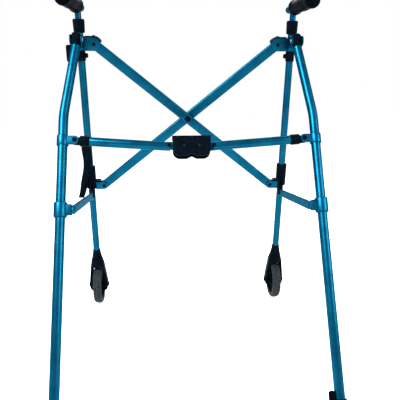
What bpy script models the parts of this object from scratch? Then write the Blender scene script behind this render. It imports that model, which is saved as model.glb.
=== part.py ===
"""Two-wheeled folding walker, built piece by piece. Metres, +Z up, +Y forward, +X to the user's right.

Each side frame has a raked front tube on a wheel and a rear leg that leans back from the same bracket.
Two crossing brace bars join the sides: each hangs from one bracket and ends in a collar that slides on
the other side's front tube. Links tie the collars to the rear legs, and a bar in two halves locks the
rear legs apart.
"""
import math

import bmesh
import bpy
from mathutils import Matrix, Vector

MM = 0.001
LEFT, RIGHT = -1, 1
SIDES = {LEFT: "left", RIGHT: "right"}

# Clearances
GAP = 0.3 * MM  # between pieces that seat on each other
RUNNING = 0.5 * MM  # between faces that swing past each other
EASE = 0.3 * MM  # round a pin or a tube, on the radius
SLIDE_CLEARANCE = 1.6 * MM  # the sliding collars ride loosely on the front tubes
SMALL_BORE = 6 * MM  # holes under this radius are drawn with fewer sides

# Overall stance
HALF_TRACK = 276 * MM  # middle of the walker to a front tube
STANCE = 554 * MM  # front tube to rear leg where their axes meet the floor
FRONT_RAKE = math.radians(7.0)
REAR_LEAN = math.radians(27.5)

# Wheels and forks
WHEEL_RADIUS = 57.5 * MM
TYRE_WIDTH = 25 * MM
TYRE_DEPTH = 11.5 * MM
HUB_WIDTH = 27 * MM
HUB_BORE = 4 * MM
RIM_THICKNESS = 3.7 * MM
WEB_THICKNESS = 6 * MM
BOSS_RADIUS = 12 * MM
WINDOW_RADIUS = 8 * MM
WINDOWS = 4
FORK_TOP = 180 * MM  # along the front tube's axis, as are all heights of pieces on that tube
FORK_TOP_RADIUS = 11.4 * MM
FORK_NECK = 8 * MM  # straight part under the fork's top
FORK_LEG = 4.5 * MM
FORK_LEG_RADIUS = 12 * MM
FORK_FLARE = 9 * MM  # how much thicker the legs are at the axle
FORK_SHOULDER_RADIUS = 19.5 * MM
FORK_CROWN = 16 * MM
CROWN_OVER_TYRE = 6 * MM
AXLE_HEAD = 2.5 * MM
AXLE_HEAD_RADIUS = 8 * MM

# Front tube and handle
TUBE_RADIUS = 9.5 * MM
TUBE_WALL = 1.2 * MM
TUBE_BOTTOM = 150 * MM
POST_RADIUS = 8 * MM
POST_IN_TUBE = 215 * MM
HANDLE_HEIGHT = 857 * MM  # above the floor
HANDLE_RADIUS = 10 * MM
HANDLE_FRONT = 40 * MM  # bare tube ahead of the post
GRIP_LENGTH = 124 * MM
GRIP_START = 11 * MM  # behind the post's axis
GRIP_RADIUS = 19.5 * MM
GRIP_WAIST = 16.5 * MM
GRIP_END_WALL = 4 * MM
GRIP_SPLAY = math.radians(5.0)
POST_COLLAR_TOP = 30.4 * MM  # under the handle's axis, along the tube
POST_COLLAR_ABOVE, POST_COLLAR_BELOW = 18 * MM, 16 * MM  # from the front tube's top
POST_COLLAR_RADIUS = 15 * MM

# Top bracket
BRACKET_BELOW, BRACKET_ABOVE = 20.8 * MM, 12.2 * MM  # from the level of the rear leg's pivot
BRACKET_SLEEVE = 13 * MM
CHEEK = 2.6 * MM
CHEEK_RADIUS = 13 * MM
PLATE = 3.2 * MM
BRACKET_END_RADIUS = 16.5 * MM
COVER_THICKNESS = 3 * MM
COVER_END = math.radians(17)
NUB_RADIUS = 2.5 * MM
LOCK_COLLAR_HEIGHT = 26 * MM
LOCK_COLLAR_RADIUS = 11.5 * MM
KNOB_RADIUS = 6 * MM
KNOB_LENGTH = 5 * MM
KNOB_BOSS = 12.2 * MM  # how far the boss stands from the tube's axis
KNOB_STEM = 2.5 * MM
BUMPER_REACH = 16.5 * MM
BUMPER_HEIGHT = 48 * MM
BUMPER_DROP = 1.8 * MM  # its top, under the level of the rear leg's pivot
BUMPER_BACK, BUMPER_FRONT = -40 * MM, -28 * MM

# Scissor brace, in a plane parallel to the front tubes
BRACE_INSET = 38 * MM  # front tube's axis to a brace pivot, towards the middle
BRACE_BEHIND = 11 * MM  # front tube's axis to the middle of the crossing
BRACE_DROP = 4.7 * MM  # upper pivot, under the level of the rear leg's pivot
BRACE_LOWER = 388.2 * MM
BAR_DEPTH = 14 * MM
BAR_HALF_HEIGHT = 12.5 * MM
BAR_EDGE = 3 * MM
BAR_LOWER_HALF_HEIGHT = 11.5 * MM
BRACE_PIN = 3.2 * MM
PIN_HEAD_RADIUS = 4.6 * MM
PIN_HEAD = 1.8 * MM
CENTRE_BOLT = 4 * MM
CENTRE_HEAD_RADIUS = 8 * MM
CENTRE_HEAD = 3.5 * MM

# Sliding collar and its clevis
COLLAR_RADIUS = 14.5 * MM
COLLAR_BELOW, COLLAR_ABOVE = 9.2 * MM, 54.8 * MM  # from the brace's lower pivot
CLEVIS_RADIUS = 10.5 * MM
CLEVIS_BASE = 3.2 * MM
SHOE_DEPTH = 6.2 * MM
LEDGE_REACH = 28.5 * MM  # how far the collar's ledge runs over the clevis, from the tube's axis
LEDGE_THICKNESS = 3 * MM

# Side link
LINK_THICKNESS = 5 * MM
LINK_RADIUS = 10 * MM
LINK_INSET = 5 * MM  # the link's middle plane, from the front tube's axis towards the middle
LINK_BEHIND = 21 * MM
LINK_BELOW = 26.2 * MM  # under the brace's lower pivot
LUG_PLATE = 3.3 * MM
LUG_RADIUS = 7.5 * MM
LINK_PIN = 3 * MM
LINK_BOLT_RADIUS = 6 * MM
LINK_BOLT_HEAD = 4 * MM

# Rear leg
LEG_RADIUS = 11.1 * MM
HANDLE_OVER_PIVOT = 85 * MM  # the handle's axis over the rear leg's pivot
LEG_OUTSET = 24 * MM  # how far the bend carries the leg outside the front tube
LEG_BEND = 198 * MM  # below the pivot, along the leg
LEG_BEND_RADIUS = 260 * MM
LEG_TOP = 18 * MM
LEG_END_ABOVE_FLOOR = 14 * MM
CAP_RADIUS = 12 * MM
CAP_RIDGE = 0.8 * MM
CAP_RIDGES = 11
CAP_HALF = 17.5 * MM
LEG_PIN = 3 * MM
FOOT_RADIUS = 17.5 * MM
FOOT_TOP_RADIUS = 14.5 * MM
FOOT_HEIGHT = 25 * MM
FOOT_TAB_REACH = 13 * MM  # inboard of the leg's surface
FOOT_TAB_HALF = 6.5 * MM
FOOT_TAB_LOW, FOOT_TAB_HIGH = 8 * MM, 36 * MM  # along the leg, from the floor

# Rings on the rear leg
UPPER_RING = 262.7 * MM  # below the leg's pivot, along the leg
UPPER_RING_RADIUS = 13.6 * MM
UPPER_RING_HALF = 12 * MM
LOWER_RING = 427.3 * MM
LOWER_RING_RADIUS = 15 * MM
LOWER_RING_HALF = 17.5 * MM
RING_CHAMFER = 2.5 * MM
EAR_REACH = 28 * MM  # leg's axis to the bar's pivot
EAR_RADIUS = 10 * MM
EAR_BACK, EAR_FRONT = -8 * MM, -1 * MM
EAR_BOLT = 3 * MM
EAR_BOLT_HEAD_RADIUS = 5.6 * MM
LUG_HALF_HEIGHT = 12.5 * MM
LUG_HALF_DEPTH = 7 * MM

# Folding bar between the rear legs
BAR_RADIUS = 10.5 * MM
BAR_SAG = math.radians(4.3)  # how far the halves fall towards the middle: past centre
HOUSING_PIVOT = 18 * MM  # middle of the walker to a half's inner pivot
END_PLUG_RADIUS = 12.5 * MM
END_PLUG_START, END_PLUG_END = 11.5 * MM, 34 * MM
TONGUE_RADIUS = 9.2 * MM
TONGUE_THICKNESS = 6.4 * MM
LAP_LENGTH = 33 * MM
LAP_THICKNESS = 7 * MM
LAP_RADIUS = 9 * MM
TRUNNION = 4 * MM
HOUSING_HALF_WIDTH = 44.6 * MM
HOUSING_TOP = 24.5 * MM
HOUSING_DEPTH = 24.5 * MM  # pivots to the lobes' lower edge
HOUSING_CORNER = 17 * MM
HOUSING_NOTCH = 5.5 * MM
HOUSING_NOTCH_HALF = 11 * MM
HOUSING_WALL = 2.7 * MM
HOUSING_LIP = 2.4 * MM
MARK_RADIUS = 3 * MM
MARK_HEIGHT = 0.6 * MM

# Release lever on the left collar
LEVER_PLATE = 5 * MM
# Level over the brace's lower pivot, middle across the tube and half width, in millimetres
LEVER_SHAPE = [(142, -3.7, 13.2), (107, -3.6, 13), (76, -1.6, 12.4), (54, -5, 11), (33, -11, 10),
               (12, -16.4, 9.7),
               (-4, -19.6, 9.4), (-20, -23.6, 8.8), (-34, -29, 8)]
LEVER_PAD_LOW, LEVER_PAD_HIGH = 62 * MM, 138 * MM  # over the brace's lower pivot
LEVER_PAD_HALF = 8 * MM
LEVER_PIVOT_BEHIND = 6 * MM
LEVER_PIVOT_ABOVE = 8 * MM  # over the brace's lower pivot
LEVER_EAR = 5.6 * MM
LEVER_EAR_RADIUS = 6.5 * MM
LEVER_PIN = 3 * MM

# Values that follow from those above
LEG_PIVOT_HEIGHT = HANDLE_HEIGHT - HANDLE_OVER_PIVOT
PIVOT_LEVEL = LEG_PIVOT_HEIGHT / math.cos(FRONT_RAKE)
BRACKET_LOW, BRACKET_HIGH = PIVOT_LEVEL - BRACKET_BELOW, PIVOT_LEVEL + BRACKET_ABOVE
BRACE_UPPER = PIVOT_LEVEL - BRACE_DROP
BUMPER_HIGH = PIVOT_LEVEL - BUMPER_DROP
BUMPER_LOW = BUMPER_HIGH - BUMPER_HEIGHT
HANDLE_LEVEL = HANDLE_HEIGHT / math.cos(FRONT_RAKE)
TUBE_TOP = HANDLE_LEVEL - POST_COLLAR_TOP - POST_COLLAR_ABOVE
POST_BOTTOM = TUBE_TOP - POST_IN_TUBE
POST_COLLAR_LOW, POST_COLLAR_HIGH = TUBE_TOP - POST_COLLAR_BELOW, TUBE_TOP + POST_COLLAR_ABOVE
FOOT_REACH = FOOT_RADIUS / math.cos(REAR_LEAN)
AXLE_HEIGHT = WHEEL_RADIUS / math.cos(FRONT_RAKE)
WHEEL_REACH = WHEEL_RADIUS * (1 - math.tan(FRONT_RAKE))
FRONT_Y = (STANCE + FOOT_REACH - WHEEL_REACH) / 2
REAR_Y = FRONT_Y - STANCE
LEG_PIVOT_Y = REAR_Y + LEG_PIVOT_HEIGHT * math.tan(REAR_LEAN)
TUBE_HOLE = TUBE_RADIUS + EASE
BRACE_HALF_SPAN = HALF_TRACK - BRACE_INSET
BRACE_RISE = BRACE_UPPER - BRACE_LOWER
BRACE_LENGTH = math.hypot(2 * BRACE_HALF_SPAN, BRACE_RISE)
BRACE_ANGLE = math.atan2(BRACE_RISE, 2 * BRACE_HALF_SPAN)
LEG_FLOOR = -LEG_PIVOT_HEIGHT / math.cos(REAR_LEAN)
EAR_X = LEG_OUTSET - EAR_REACH  # outboard of the front tube's plane
HALF_BAR = (HALF_TRACK + EAR_X - HOUSING_PIVOT) / math.cos(BAR_SAG)
CHANNEL = BAR_DEPTH / 2 + RUNNING
HOUSING_INNER = BAR_RADIUS + RUNNING + GAP

BLUE, TEAL, BLACK = (0.01, 0.26, 0.48), (0.06, 0.2, 0.28), (0.012, 0.014, 0.018)
GREY, TREAD, STEEL = (0.03, 0.034, 0.038), (0.045, 0.05, 0.054), (0.3, 0.31, 0.32)


def clear_scene():
    for old in list(bpy.data.objects):
        bpy.data.objects.remove(old, do_unlink=True)


def collection(name):
    made = bpy.data.collections.new(name)
    bpy.context.scene.collection.children.link(made)
    return made


def material(name, colour, roughness, metallic):
    made = bpy.data.materials.new(name)
    made.use_nodes = True
    shader = made.node_tree.nodes["Principled BSDF"]
    shader.inputs["Base Color"].default_value = (*colour, 1)
    shader.inputs["Roughness"].default_value = roughness
    shader.inputs["Metallic"].default_value = metallic
    return made


clear_scene()
PIECES = collection("two_wheeled_walker")
CUTTERS = collection("cutters")
PAINT = ("painted_tube", BLUE, 0.25, 0.6)
LINK_PAINT = ("painted_link", TEAL, 0.35, 0.5)
NYLON = ("black_nylon", BLACK, 0.5, 0.0)
FOAM = ("grip_rubber", GREY, 0.8, 0.0)
TYRE = ("tyre_rubber", TREAD, 0.75, 0.0)
BRIGHT = ("pin_steel", STEEL, 0.35, 1.0)
BODIES = {}


# Frames: the front frame's Z runs up the front tube, the rear frame's Z up the rear leg
def front_frame(side):
    return Matrix.Translation((side * HALF_TRACK, FRONT_Y, 0)) @ Matrix.Rotation(FRONT_RAKE, 4, "X")


def rear_frame(side):
    at = Matrix.Translation((side * HALF_TRACK, LEG_PIVOT_Y, LEG_PIVOT_HEIGHT))
    return at @ Matrix.Rotation(-REAR_LEAN, 4, "X")


def towards_middle(side, drop):
    """A turn about Y that points X at the middle of the walker, drop below level."""
    return Matrix.Rotation(drop if side == LEFT else math.pi - drop, 4, "Y")


def bar_layer(side):
    """How far ahead of the front tube's axis this side's brace bar lies: the left one is nearer the user."""
    return -BRACE_BEHIND + side * (BAR_DEPTH / 2 + GAP)


def brace_frame(side):
    at = Vector((-side * BRACE_INSET, bar_layer(side), BRACE_UPPER))
    return front_frame(side) @ Matrix.Translation(at) @ towards_middle(side, BRACE_ANGLE)


def collar_frame(side):
    at = Vector((-side * BRACE_INSET, bar_layer(-side), BRACE_LOWER))
    return front_frame(side) @ Matrix.Translation(at)


def half_bar_frame(side):
    at = Matrix.Translation((side * EAR_X, 0, -UPPER_RING))
    return rear_frame(side) @ at @ towards_middle(side, BAR_SAG)


def housing_frame():
    level = -UPPER_RING - HALF_BAR * math.sin(BAR_SAG)
    return rear_frame(LEFT) @ Matrix.Translation((HALF_TRACK, 0, level))


def link_front(side):
    """The link's front pivot, in the world."""
    at = Vector((-side * LINK_INSET, -LINK_BEHIND, BRACE_LOWER - LINK_BELOW))
    return front_frame(side) @ at


def link_rear(side):
    return rear_frame(side) @ Vector((-side * LINK_INSET, 0, -LOWER_RING))


def link_frame(side):
    run = link_rear(side) - link_front(side)
    return Matrix.Translation(link_front(side)) @ Matrix.Rotation(-math.atan2(run.z, -run.y), 4, "X")


def lever_frame():
    at = Vector((0, -LEVER_PIVOT_BEHIND, BRACE_LOWER + LEVER_PIVOT_ABOVE))
    return front_frame(LEFT) @ Matrix.Translation(at)


def wheel_frame(side):
    return front_frame(side) @ Matrix.Translation((0, 0, AXLE_HEIGHT)) @ along("X")


def along(axis):
    """A turn that brings Z onto X or Y."""
    return Matrix.Rotation(math.pi / 2, 4, "Y") if axis == "X" else Matrix.Rotation(-math.pi / 2, 4, "X")


# Shapes
def place(mesh, name, frame):
    made = bpy.data.objects.new(name, mesh)
    PIECES.objects.link(made)
    made.matrix_world = frame
    return made


def meshed(source, name, frame):
    """The mesh that Blender makes of an object, its caps welded and its faces turned out."""
    bpy.context.view_layer.update()
    graph = bpy.context.evaluated_depsgraph_get()
    mesh = bpy.data.meshes.new_from_object(source.evaluated_get(graph))
    bpy.data.objects.remove(source)
    work = bmesh.new()
    work.from_mesh(mesh)
    bmesh.ops.remove_doubles(work, verts=work.verts, dist=1e-6)
    bmesh.ops.recalc_face_normals(work, faces=work.faces)
    work.to_mesh(mesh)
    work.free()
    return place(mesh, name, frame)


def block(name, low, high, frame, edge=0.0):
    """A box between two corners, given in any order, with rounded edges if asked."""
    low, high = Vector(low), Vector(high)
    size = Vector([abs(b - a) for a, b in zip(low, high)])
    work = bmesh.new()
    bmesh.ops.create_cube(work, size=1)
    bmesh.ops.scale(work, vec=size, verts=work.verts)
    bmesh.ops.translate(work, vec=(low + high) / 2, verts=work.verts)
    mesh = bpy.data.meshes.new(name)
    work.to_mesh(mesh)
    work.free()
    made = place(mesh, name, frame)
    if edge:
        bevel(made, edge)
    return made


def rod(name, radius, start, end, frame, sides=16):
    """A cylinder between two points."""
    start, end = Vector(start), Vector(end)
    turn = (end - start).to_track_quat("Z", "Y").to_matrix().to_4x4()
    work = bmesh.new()
    bmesh.ops.create_cone(work, cap_ends=True, segments=sides, radius1=radius, radius2=radius,
                          depth=(end - start).length, matrix=Matrix.Translation((start + end) / 2) @ turn)
    mesh = bpy.data.meshes.new(name)
    work.to_mesh(mesh)
    work.free()
    return place(mesh, name, frame)


def turned(name, profile, frame, steps=20, loop=False):
    """A profile of (radius, height), run round Z."""
    mesh = bpy.data.meshes.new(name)
    edges = [(i, i + 1) for i in range(len(profile) - 1)]
    if loop:
        edges.append((len(profile) - 1, 0))
    mesh.from_pydata([(r, 0, z) for r, z in profile], edges, [])
    made = place(mesh, name, Matrix())
    screw = made.modifiers.new("turn", "SCREW")
    screw.steps = screw.render_steps = steps
    screw.use_merge_vertices = True
    screw.merge_threshold = 1e-5
    return meshed(made, name, frame)


def plate(name, outline, low, high, plane, frame):
    """A flat outline in the XZ or YZ plane, thick from low to high along the third axis."""
    curve = bpy.data.curves.new(name, "CURVE")
    curve.dimensions = "2D"
    curve.fill_mode = "BOTH"
    curve.extrude = abs(high - low) / 2
    line = curve.splines.new("POLY")
    line.points.add(len(outline) - 1)
    for point, (a, b) in zip(line.points, outline):
        point.co = (a, b, 0, 1)
    line.use_cyclic_u = True
    made = bpy.data.objects.new(name, curve)
    PIECES.objects.link(made)
    middle = (low + high) / 2
    if plane == "XZ":
        stand = Matrix.Translation((0, middle, 0)) @ Matrix.Rotation(math.pi / 2, 4, "X")
    else:
        stand = Matrix.Translation((middle, 0, 0)) @ Matrix.Rotation(math.pi / 2, 4, "Z")
        stand = stand @ Matrix.Rotation(math.pi / 2, 4, "X")
    return meshed(made, name, frame @ stand)


def tube(name, points, radius, frame, resolution=6):
    curve = bpy.data.curves.new(name, "CURVE")
    curve.dimensions = "3D"
    curve.bevel_depth = radius
    curve.bevel_resolution = resolution
    curve.use_fill_caps = True
    line = curve.splines.new("POLY")
    line.points.add(len(points) - 1)
    for point, at in zip(line.points, points):
        point.co = (*at, 1)
    made = bpy.data.objects.new(name, curve)
    PIECES.objects.link(made)
    return meshed(made, name, frame)


def bevel(target, width, segments=2):
    made = target.modifiers.new("rounded_edges", "BEVEL")
    made.width = width
    made.segments = segments
    made.limit_method = "ANGLE"
    made.angle_limit = math.radians(50)


def combine(target, helpers, operation):
    for helper in helpers:
        made = target.modifiers.new(operation.lower(), "BOOLEAN")
        made.operation = operation
        made.object = helper
        PIECES.objects.unlink(helper)
        CUTTERS.objects.link(helper)
        helper.hide_render = True
        helper.display_type = "WIRE"
    return target


def join(target, *helpers):
    return combine(target, helpers, "UNION")


def cut(target, *helpers):
    return combine(target, helpers, "DIFFERENCE")


def hole(radius, start, end, frame):
    return rod("hole", radius, start, end, frame, 10 if radius < SMALL_BORE else 20)


def arc(centre, radius, first, last, steps=5):
    """Points along an arc from the first angle to the last, in degrees."""
    turn = [math.radians(first + (last - first) * i / steps) for i in range(steps + 1)]
    return [(centre[0] + radius * math.cos(t), centre[1] + radius * math.sin(t)) for t in turn]


def strap(first, last, radius, last_radius=None):
    """The outline of a bar with round ends about two points."""
    last_radius = last_radius or radius
    heading = math.degrees(math.atan2(last[1] - first[1], last[0] - first[0]))
    tail = arc(first, radius, heading + 90, heading + 270)
    return tail + arc(last, last_radius, heading - 90, heading + 90)


def mirrored(outline, side):
    """The outline as drawn for the right side, or its mirror image for the left."""
    return [(side * a, b) for a, b in outline]


def headed_pin(name, radius, half_length, head_radius, head, frame):
    """A pin along Z with a head at both ends, middle at the frame."""
    top = half_length + head
    upper = [(0, top), (0.85 * head_radius, top), (head_radius, half_length), (radius, half_length)]
    lower = [(r, -z) for r, z in reversed(upper)]
    return turned(name, upper + lower, frame, steps=10)


def sleeve(name, outer, inner, low, high, frame, edge=1 * MM, steps=20):
    """A ring with chamfered outer edges."""
    profile = [(inner, high), (outer - edge, high), (outer, high - edge), (outer, low + edge),
               (outer - edge, low), (inner, low)]
    return turned(name, profile, frame, steps=steps, loop=True)


def barrel(name, radius, low, high, frame, edge=1 * MM):
    """A solid cylinder on the frame's Z with chamfered ends, to be joined and then bored."""
    made = rod(name, radius, (0, 0, low), (0, 0, high), frame, 20)
    bevel(made, edge, 1)
    return made


def shade(target):
    for face in target.data.polygons:
        face.use_smooth = True
    target.data.set_sharp_from_angle(angle=math.radians(35))


def finish(target, name, look, body):
    """Names the piece, gives it its look and hangs it on its body's empty."""
    target.name = target.data.name = name
    look = bpy.data.materials.get(look[0]) or material(*look)
    target.data.materials.clear()
    target.data.materials.append(look)
    shade(target)
    holder = BODIES[body]
    target.parent = holder
    target.matrix_parent_inverse = holder.matrix_basis.inverted()
    return target


def body(name, frame):
    """An empty on the body's joint."""
    made = bpy.data.objects.new(name, None)
    made.empty_display_size = 0.03
    PIECES.objects.link(made)
    made.matrix_basis = frame
    BODIES[name] = made


def make_bodies():
    for side, word in SIDES.items():
        start = brace_frame(side) if side == RIGHT else front_frame(side)
        body(f"{word}_side", start)
        body(f"{word}_handle", front_frame(side))
        body(f"{word}_knob", front_frame(side))
        body(f"{word}_wheel", wheel_frame(side))
        body(f"{word}_leg", rear_frame(side))
        body(f"{word}_brace", brace_frame(side))
        body(f"{word}_collar", collar_frame(side))
        body(f"{word}_link", link_frame(side))
        body(f"{word}_half_bar", half_bar_frame(side))
    body("housing", housing_frame() @ Matrix.Translation((-HOUSING_PIVOT, 0, 0)))
    body("lever", lever_frame())


# Wheel, fork and axle
def make_wheel(side, word):
    frame = wheel_frame(side)
    half = TYRE_WIDTH / 2
    bead = WHEEL_RADIUS - TYRE_DEPTH
    crown = [(bead, 0.8 * half), (bead + 0.35 * TYRE_DEPTH, half),
             (WHEEL_RADIUS - 0.3 * TYRE_DEPTH, 0.93 * half),
             (WHEEL_RADIUS, 0.45 * half)]
    profile = crown + [(r, -z) for r, z in reversed(crown)]
    finish(turned("tyre", profile, frame, 30, loop=True), f"tyre_{word}", TYRE, f"{word}_wheel")
    outer = bead - GAP
    rim = outer - RIM_THICKNESS
    boss = HUB_WIDTH / 2
    web = WEB_THICKNESS / 2
    bore = HUB_BORE + EASE
    upper = [(bore, boss), (BOSS_RADIUS, boss), (BOSS_RADIUS, web), (rim, web), (rim, 0.8 * half),
             (outer, 0.8 * half)]
    hub = turned("hub", upper + [(r, -z) for r, z in reversed(upper)], frame, 20, loop=True)
    reach = (BOSS_RADIUS + rim) / 2
    for i in range(WINDOWS):
        turn = math.tau * i / WINDOWS
        at = Vector((reach * math.cos(turn), reach * math.sin(turn), 0))
        cut(hub, hole(WINDOW_RADIUS, at - Vector((0, 0, boss)), at + Vector((0, 0, boss)), frame))
    finish(hub, f"hub_{word}", NYLON, f"{word}_wheel")


def make_fork(side, word):
    """A cone that opens over the wheel into two legs, thickest at the axle."""
    frame = front_frame(side)
    inner = HUB_WIDTH / 2 + RUNNING + GAP
    outer = inner + FORK_LEG + FORK_FLARE
    low = WHEEL_RADIUS + AXLE_HEIGHT + CROWN_OVER_TYRE
    shoulder = low + FORK_CROWN
    neck = FORK_TOP - FORK_NECK
    fork = turned("fork", [(0, FORK_TOP), (FORK_TOP_RADIUS - 1 * MM, FORK_TOP),
                           (FORK_TOP_RADIUS, FORK_TOP - 1 * MM),
                           (FORK_TOP_RADIUS, neck), (FORK_SHOULDER_RADIUS, shoulder),
                           (FORK_SHOULDER_RADIUS, low + 3 * MM), (FORK_SHOULDER_RADIUS - 3 * MM, low),
                           (0, low)], frame)
    legs = []
    for way in (-1, 1):
        below = AXLE_HEIGHT - FORK_LEG_RADIUS
        shape = [(way * inner, below), (way * (outer - 4 * MM), below), (way * outer, AXLE_HEIGHT - 5 * MM),
                 (way * outer, AXLE_HEIGHT + 5 * MM),
                 (way * (FORK_SHOULDER_RADIUS - 0.4 * MM), shoulder - 2 * MM),
                 (way * inner, shoulder - 2 * MM)]
        leg = plate("fork_leg", shape, -FORK_LEG_RADIUS, FORK_LEG_RADIUS, "XZ", frame)
        bevel(leg, 2.5 * MM)
        legs.append(leg)
    join(fork, *legs)
    axle = outer * 1.5
    cut(fork, hole(TUBE_HOLE, (0, 0, TUBE_BOTTOM - GAP), (0, 0, FORK_TOP + GAP * 10), frame),
        hole(HUB_BORE + EASE, (-axle, 0, AXLE_HEIGHT), (axle, 0, AXLE_HEIGHT), frame))
    finish(fork, f"fork_{word}", NYLON, f"{word}_side")
    bolt = headed_pin("axle", HUB_BORE, outer + GAP, AXLE_HEAD_RADIUS, AXLE_HEAD, wheel_frame(side))
    finish(bolt, f"axle_{word}", NYLON, f"{word}_side")


# Front tube, handle and collars
def make_front_tube(side, word):
    frame = front_frame(side)
    made = sleeve("front_tube", TUBE_RADIUS, TUBE_RADIUS - TUBE_WALL, TUBE_BOTTOM, TUBE_TOP, frame, 0.3 * MM)
    at = knob_height()
    cut(made, hole(KNOB_STEM + EASE, (0, 0, at), (-side * 2 * TUBE_RADIUS, 0, at), frame))
    finish(made, f"front_tube_{word}", PAINT, f"{word}_side")
    collar = turned("post_collar", [
        (POST_RADIUS + EASE, POST_COLLAR_HIGH), (POST_COLLAR_RADIUS - 2 * MM, POST_COLLAR_HIGH),
        (POST_COLLAR_RADIUS, POST_COLLAR_HIGH - 3 * MM), (POST_COLLAR_RADIUS - 1 * MM,
                                                          POST_COLLAR_LOW + 2 * MM),
        (POST_COLLAR_RADIUS - 2.5 * MM, POST_COLLAR_LOW), (TUBE_HOLE, POST_COLLAR_LOW),
        (TUBE_HOLE, TUBE_TOP + GAP), (POST_RADIUS + EASE, TUBE_TOP + GAP)], frame, loop=True)
    finish(collar, f"post_collar_{word}", NYLON, f"{word}_side")


def knob_height():
    return BRACKET_LOW - GAP - LOCK_COLLAR_HEIGHT / 2


def make_lock(side, word):
    frame = front_frame(side)
    at = knob_height()
    half = LOCK_COLLAR_HEIGHT / 2
    collar = barrel("lock_collar", LOCK_COLLAR_RADIUS, at - half, at + half, frame)
    join(collar, rod("boss", KNOB_RADIUS + 1 * MM, (0, 0, at), (-side * KNOB_BOSS, 0, at), frame))
    cut(collar, hole(TUBE_HOLE, (0, 0, at - 2 * half), (0, 0, at + 2 * half), frame),
        hole(KNOB_STEM + EASE, (0, 0, at), (-side * 2 * KNOB_BOSS, 0, at), frame))
    finish(collar, f"lock_collar_{word}", NYLON, f"{word}_side")
    stem_end = POST_RADIUS + 2 * EASE
    knob_start = KNOB_BOSS + GAP
    knob_end = knob_start + KNOB_LENGTH
    soft = KNOB_RADIUS - 1 * MM
    knob = turned("knob", [(0, knob_end), (soft, knob_end), (KNOB_RADIUS, knob_end - 1 * MM),
                           (KNOB_RADIUS, knob_start), (KNOB_STEM, knob_start), (KNOB_STEM, stem_end),
                           (0, stem_end)],
                  frame @ Matrix.Translation((0, 0, at)) @ Matrix.Rotation(-side * math.pi / 2, 4, "Y"), 14)
    finish(knob, f"height_knob_{word}", NYLON, f"{word}_knob")


def handle_frame(side):
    """At the post's meeting with the handle, with -Y along the grip."""
    y = FRONT_Y - HANDLE_HEIGHT * math.tan(FRONT_RAKE)
    at = Matrix.Translation((side * HALF_TRACK, y, HANDLE_HEIGHT))
    return at @ Matrix.Rotation(side * GRIP_SPLAY, 4, "Z")


def make_handle(side, word):
    level = handle_frame(side)
    back = GRIP_START + GRIP_LENGTH - GRIP_END_WALL - GAP
    handle = rod("handle", HANDLE_RADIUS, (0, HANDLE_FRONT, 0), (0, -back, 0), level, 16)
    bevel(handle, 5 * MM)
    post = rod("post", POST_RADIUS, (0, 0, POST_BOTTOM), (0, 0, HANDLE_LEVEL), front_frame(side), 16)
    join(handle, post)
    finish(handle, f"handle_post_{word}", PAINT, f"{word}_handle")
    end = GRIP_START + GRIP_LENGTH
    bore = HANDLE_RADIUS + GAP
    profile = [(0, end), (GRIP_WAIST - 3 * MM, end), (GRIP_RADIUS - 2 * MM, end - 3 * MM),
               (GRIP_RADIUS - 1 * MM, end - 9 * MM), (GRIP_WAIST, end - 22 * MM),
               (GRIP_WAIST + 1.5 * MM, GRIP_START + 0.5 * GRIP_LENGTH), (GRIP_WAIST, GRIP_START + 24 * MM),
               (GRIP_RADIUS, GRIP_START + 11 * MM), (GRIP_RADIUS, GRIP_START + 4 * MM),
               (GRIP_RADIUS - 3 * MM, GRIP_START), (bore, GRIP_START),
               (bore, end - GRIP_END_WALL), (0, end - GRIP_END_WALL)]
    grip = turned("grip", profile, level @ Matrix.Rotation(math.pi / 2, 4, "X"))
    finish(grip, f"grip_{word}", FOAM, f"{word}_handle")


# Top bracket with its cover, pins and the rear leg's fork
def bracket_outline(start):
    """Right side's channel plate, from the inboard cheek to a round end about the brace's pivot."""
    centre = (-BRACE_INSET, BRACE_UPPER)
    low, high = BRACE_UPPER - BRACKET_END_RADIUS, BRACE_UPPER + BRACKET_END_RADIUS
    return [(-start, low), (-start, high)] + arc(centre, BRACKET_END_RADIUS, 90, 270, 8)


def leg_pivot_on_front(side):
    return front_frame(side).inverted() @ (rear_frame(side) @ Vector((0, 0, 0)))


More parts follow.
